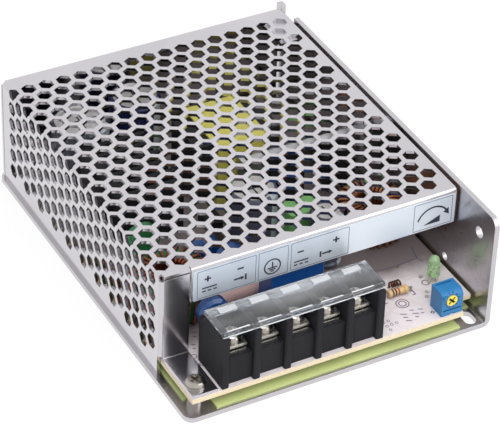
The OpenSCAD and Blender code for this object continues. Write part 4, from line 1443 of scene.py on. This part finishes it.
@dataclass
class Inside(Assembly):
    """Parts on the board that show through the perforation."""

    large_r: float = 7.5
    small_r: float = 5.0
    small_drop: float = 1.0
    leg_top: float = 11.6

    def build(self) -> None:
        """Wind both chokes."""
        ChokeWire("output_wire", "output_choke_winding", "output_choke_core", COPPER, "copper_wire").build()
        ChokeWire("line_wire", "line_choke_winding", "line_choke_core", RED_WIRE, "enamel_wire").build()

    def can(self, node: str, name: str, colour: Colour) -> None:
        """Put a sleeve on a round can.

        Args:
            node: Name of the can.
            name: Name of its finish.
            colour: Colour of its sleeve.
        """
        low, high = (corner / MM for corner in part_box(node))
        middle = (low + high) / 2
        cans = ((middle.x, middle.y, (high.x - low.x) / 2, high.z),)
        self.coat(Sleeve(name, colour, cans), node)

    def can_pair(self) -> None:
        """Put the sleeves on the large output can and the small one to its front right."""
        low, high = (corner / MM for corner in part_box("output_capacitors"))
        large = (low.x + self.large_r, high.y - self.large_r, self.large_r, high.z)
        small = (high.x - self.small_r, low.y + self.small_r, self.small_r, high.z - self.small_drop)
        self.coat(Sleeve("slate_blue_sleeve", shade(78, 80, 98), (large, small)), "output_capacitors")

    def dress(self) -> None:
        """Put the inner parts' finishes on."""
        self.coat(FERRITE, "transformer_core")
        self.coat(TAPE, "transformer_winding")
        self.coat(SINK_METAL, "heatsink_bracket")
        self.coat(BODY_BLACK, "power_transistors", "bridge_rectifier", "control_chip", "optocoupler")
        # The sink's black partly stands in for deep shade left of the transformer.
        self.coat(BLACK_FINS_AND_SHADE, "bridge_sink")
        self.can("input_capacitor", "slate_sleeve", shade(44, 50, 62))
        self.can("second_capacitor", "navy_sleeve_film", shade(34, 40, 84))
        self.can_pair()
        self.coat(Dipped("green_dip", shade(128, 200, 110)), "film_capacitor")
        self.coat(BOX_BLUE, "box_capacitor")
        self.coat(NAVY_CORE, "output_choke_core")
        self.coat(GREEN_CORE, "line_choke_core")
        self.coat(Dipped("dark_green_dip", shade(52, 128, 78), foot=self.leg_top), "surge_disc")
        self.coat(Dipped("blue_dip", shade(28, 78, 144), foot=self.leg_top), "safety_capacitors")
        self.coat(CERAMIC, "fuse")


@dataclass(frozen=True)
class SoftLamp:
    """Soft square lamp: place and side in metres, power in watts, and whether shiny parts show it."""

    name: str
    spot: Point
    side: float
    power: float
    mirrored: bool = True


@dataclass
class Studio:
    """Floor, sky, lamps and camera."""

    eye: Point = (-295.466, -530.108, 468.667)
    right: Point = (0.880943, -0.47225, 0.03033)
    down: Point = (-0.262127, -0.540329, -0.799584)
    ahead: Point = (0.393992, 0.696437, -0.599788)
    lens: float = 184.52
    sensor: float = 36.0
    clip: Flat = (0.05, 50.0)
    floor: float = 6.0
    floor_cuts: int = 4
    floor_z: float = -0.00005
    ambient: float = 0.24
    target: Point = (0.0, 0.0, 0.015)
    lamps: tuple[SoftLamp, ...] = (
        SoftLamp("key_lamp", (-0.25, -0.7, 1.1), 1.1, 16.5, mirrored=False),
        SoftLamp("fill_lamp", (0.8, -0.6, 0.55), 1.2, 6.0),
        SoftLamp("top_lamp", (0.05, 0.25, 1.1), 1.0, 5.5, mirrored=False),
    )

    def build(self) -> None:
        """Set up everything around the object."""
        self.lay_floor()
        self.light_sky()
        for lamp in self.lamps:
            self.hang(lamp)
        self.aim()
        bpy.context.scene.view_settings.view_transform = "Standard"

    def lay_floor(self) -> None:
        """Lay a floor that is cut into a few squares."""
        mesh = bmesh.new()
        cuts = self.floor_cuts
        bmesh.ops.create_grid(mesh, x_segments=cuts, y_segments=cuts, size=self.floor / 2)
        data = bpy.data.meshes.new("floor")
        mesh.to_mesh(data)
        mesh.free()
        floor = bpy.data.objects.new("floor", data)
        floor.location.z = self.floor_z
        bpy.context.scene.collection.objects.link(floor)
        FLOOR.put(floor)

    def light_sky(self) -> None:
        """Light the world: white where it is seen, dimmer where it only lights."""
        world = bpy.data.worlds.new("studio")
        world.use_nodes = True
        tree = world.node_tree
        tree.nodes.clear()
        output = tree.nodes.new("ShaderNodeOutputWorld")
        ray = tree.nodes.new("ShaderNodeLightPath")
        sky = self.sky(tree, self.ambient)
        for name in ("Is Camera Ray", "Is Glossy Ray", "Is Transmission Ray"):
            mix = tree.nodes.new("ShaderNodeMixShader")
            tree.links.new(ray.outputs[name], mix.inputs[0])
            tree.links.new(sky, mix.inputs[1])
            tree.links.new(self.sky(tree, 1.0), mix.inputs[2])
            sky = mix.outputs[0]
        tree.links.new(sky, output.inputs["Surface"])
        bpy.context.scene.world = world

    def sky(self, tree: bpy.types.NodeTree, strength: float) -> Socket:
        """Return an even white sky.

        Args:
            tree: Node tree of the world.
            strength: Brightness.

        Returns:
            The sky's shader.
        """
        node = tree.nodes.new("ShaderNodeBackground")
        node.inputs["Color"].default_value = (*WHITE, 1.0)
        node.inputs["Strength"].default_value = strength
        return node.outputs[0]

    def hang(self, lamp: SoftLamp) -> None:
        """Hang a lamp that looks at the object.

        Args:
            lamp: Lamp to hang.
        """
        light = bpy.data.lights.new(lamp.name, "AREA")
        light.size = lamp.side
        light.energy = lamp.power
        hung = bpy.data.objects.new(lamp.name, light)
        hung.visible_glossy = lamp.mirrored
        hung.location = lamp.spot
        hung.rotation_mode = "QUATERNION"
        hung.rotation_quaternion = (Vector(self.target) - Vector(lamp.spot)).to_track_quat("-Z", "Y")
        bpy.context.scene.collection.objects.link(hung)

    def aim(self) -> None:
        """Put the camera where the photograph was taken from."""
        data = bpy.data.cameras.new("camera")
        data.lens = self.lens
        data.sensor_width = self.sensor
        data.sensor_fit = "HORIZONTAL"
        data.clip_start, data.clip_end = self.clip
        camera = bpy.data.objects.new("camera", data)
        axes = (Vector(self.right), -Vector(self.down), -Vector(self.ahead))
        turn = Matrix(axes).transposed().to_4x4()
        camera.matrix_world = Matrix.Translation(Vector(self.eye) * MM) @ turn
        bpy.context.scene.collection.objects.link(camera)
        bpy.context.scene.camera = camera


def main() -> None:
    """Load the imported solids, build the studio and dress every piece in order."""
    logging.basicConfig(level=logging.INFO, format="%(message)s")
    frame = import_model()
    Studio().build()
    for kind in (Case, LabelStrip, Board, BoardScrews, Terminals, Adjuster, Lamp, Resistors, Inside):
        part = kind(frame)
        part.dress()
        part.build()
        LOG.info("part %s done", kind.__name__)


if __name__ == "__main__":
    main()
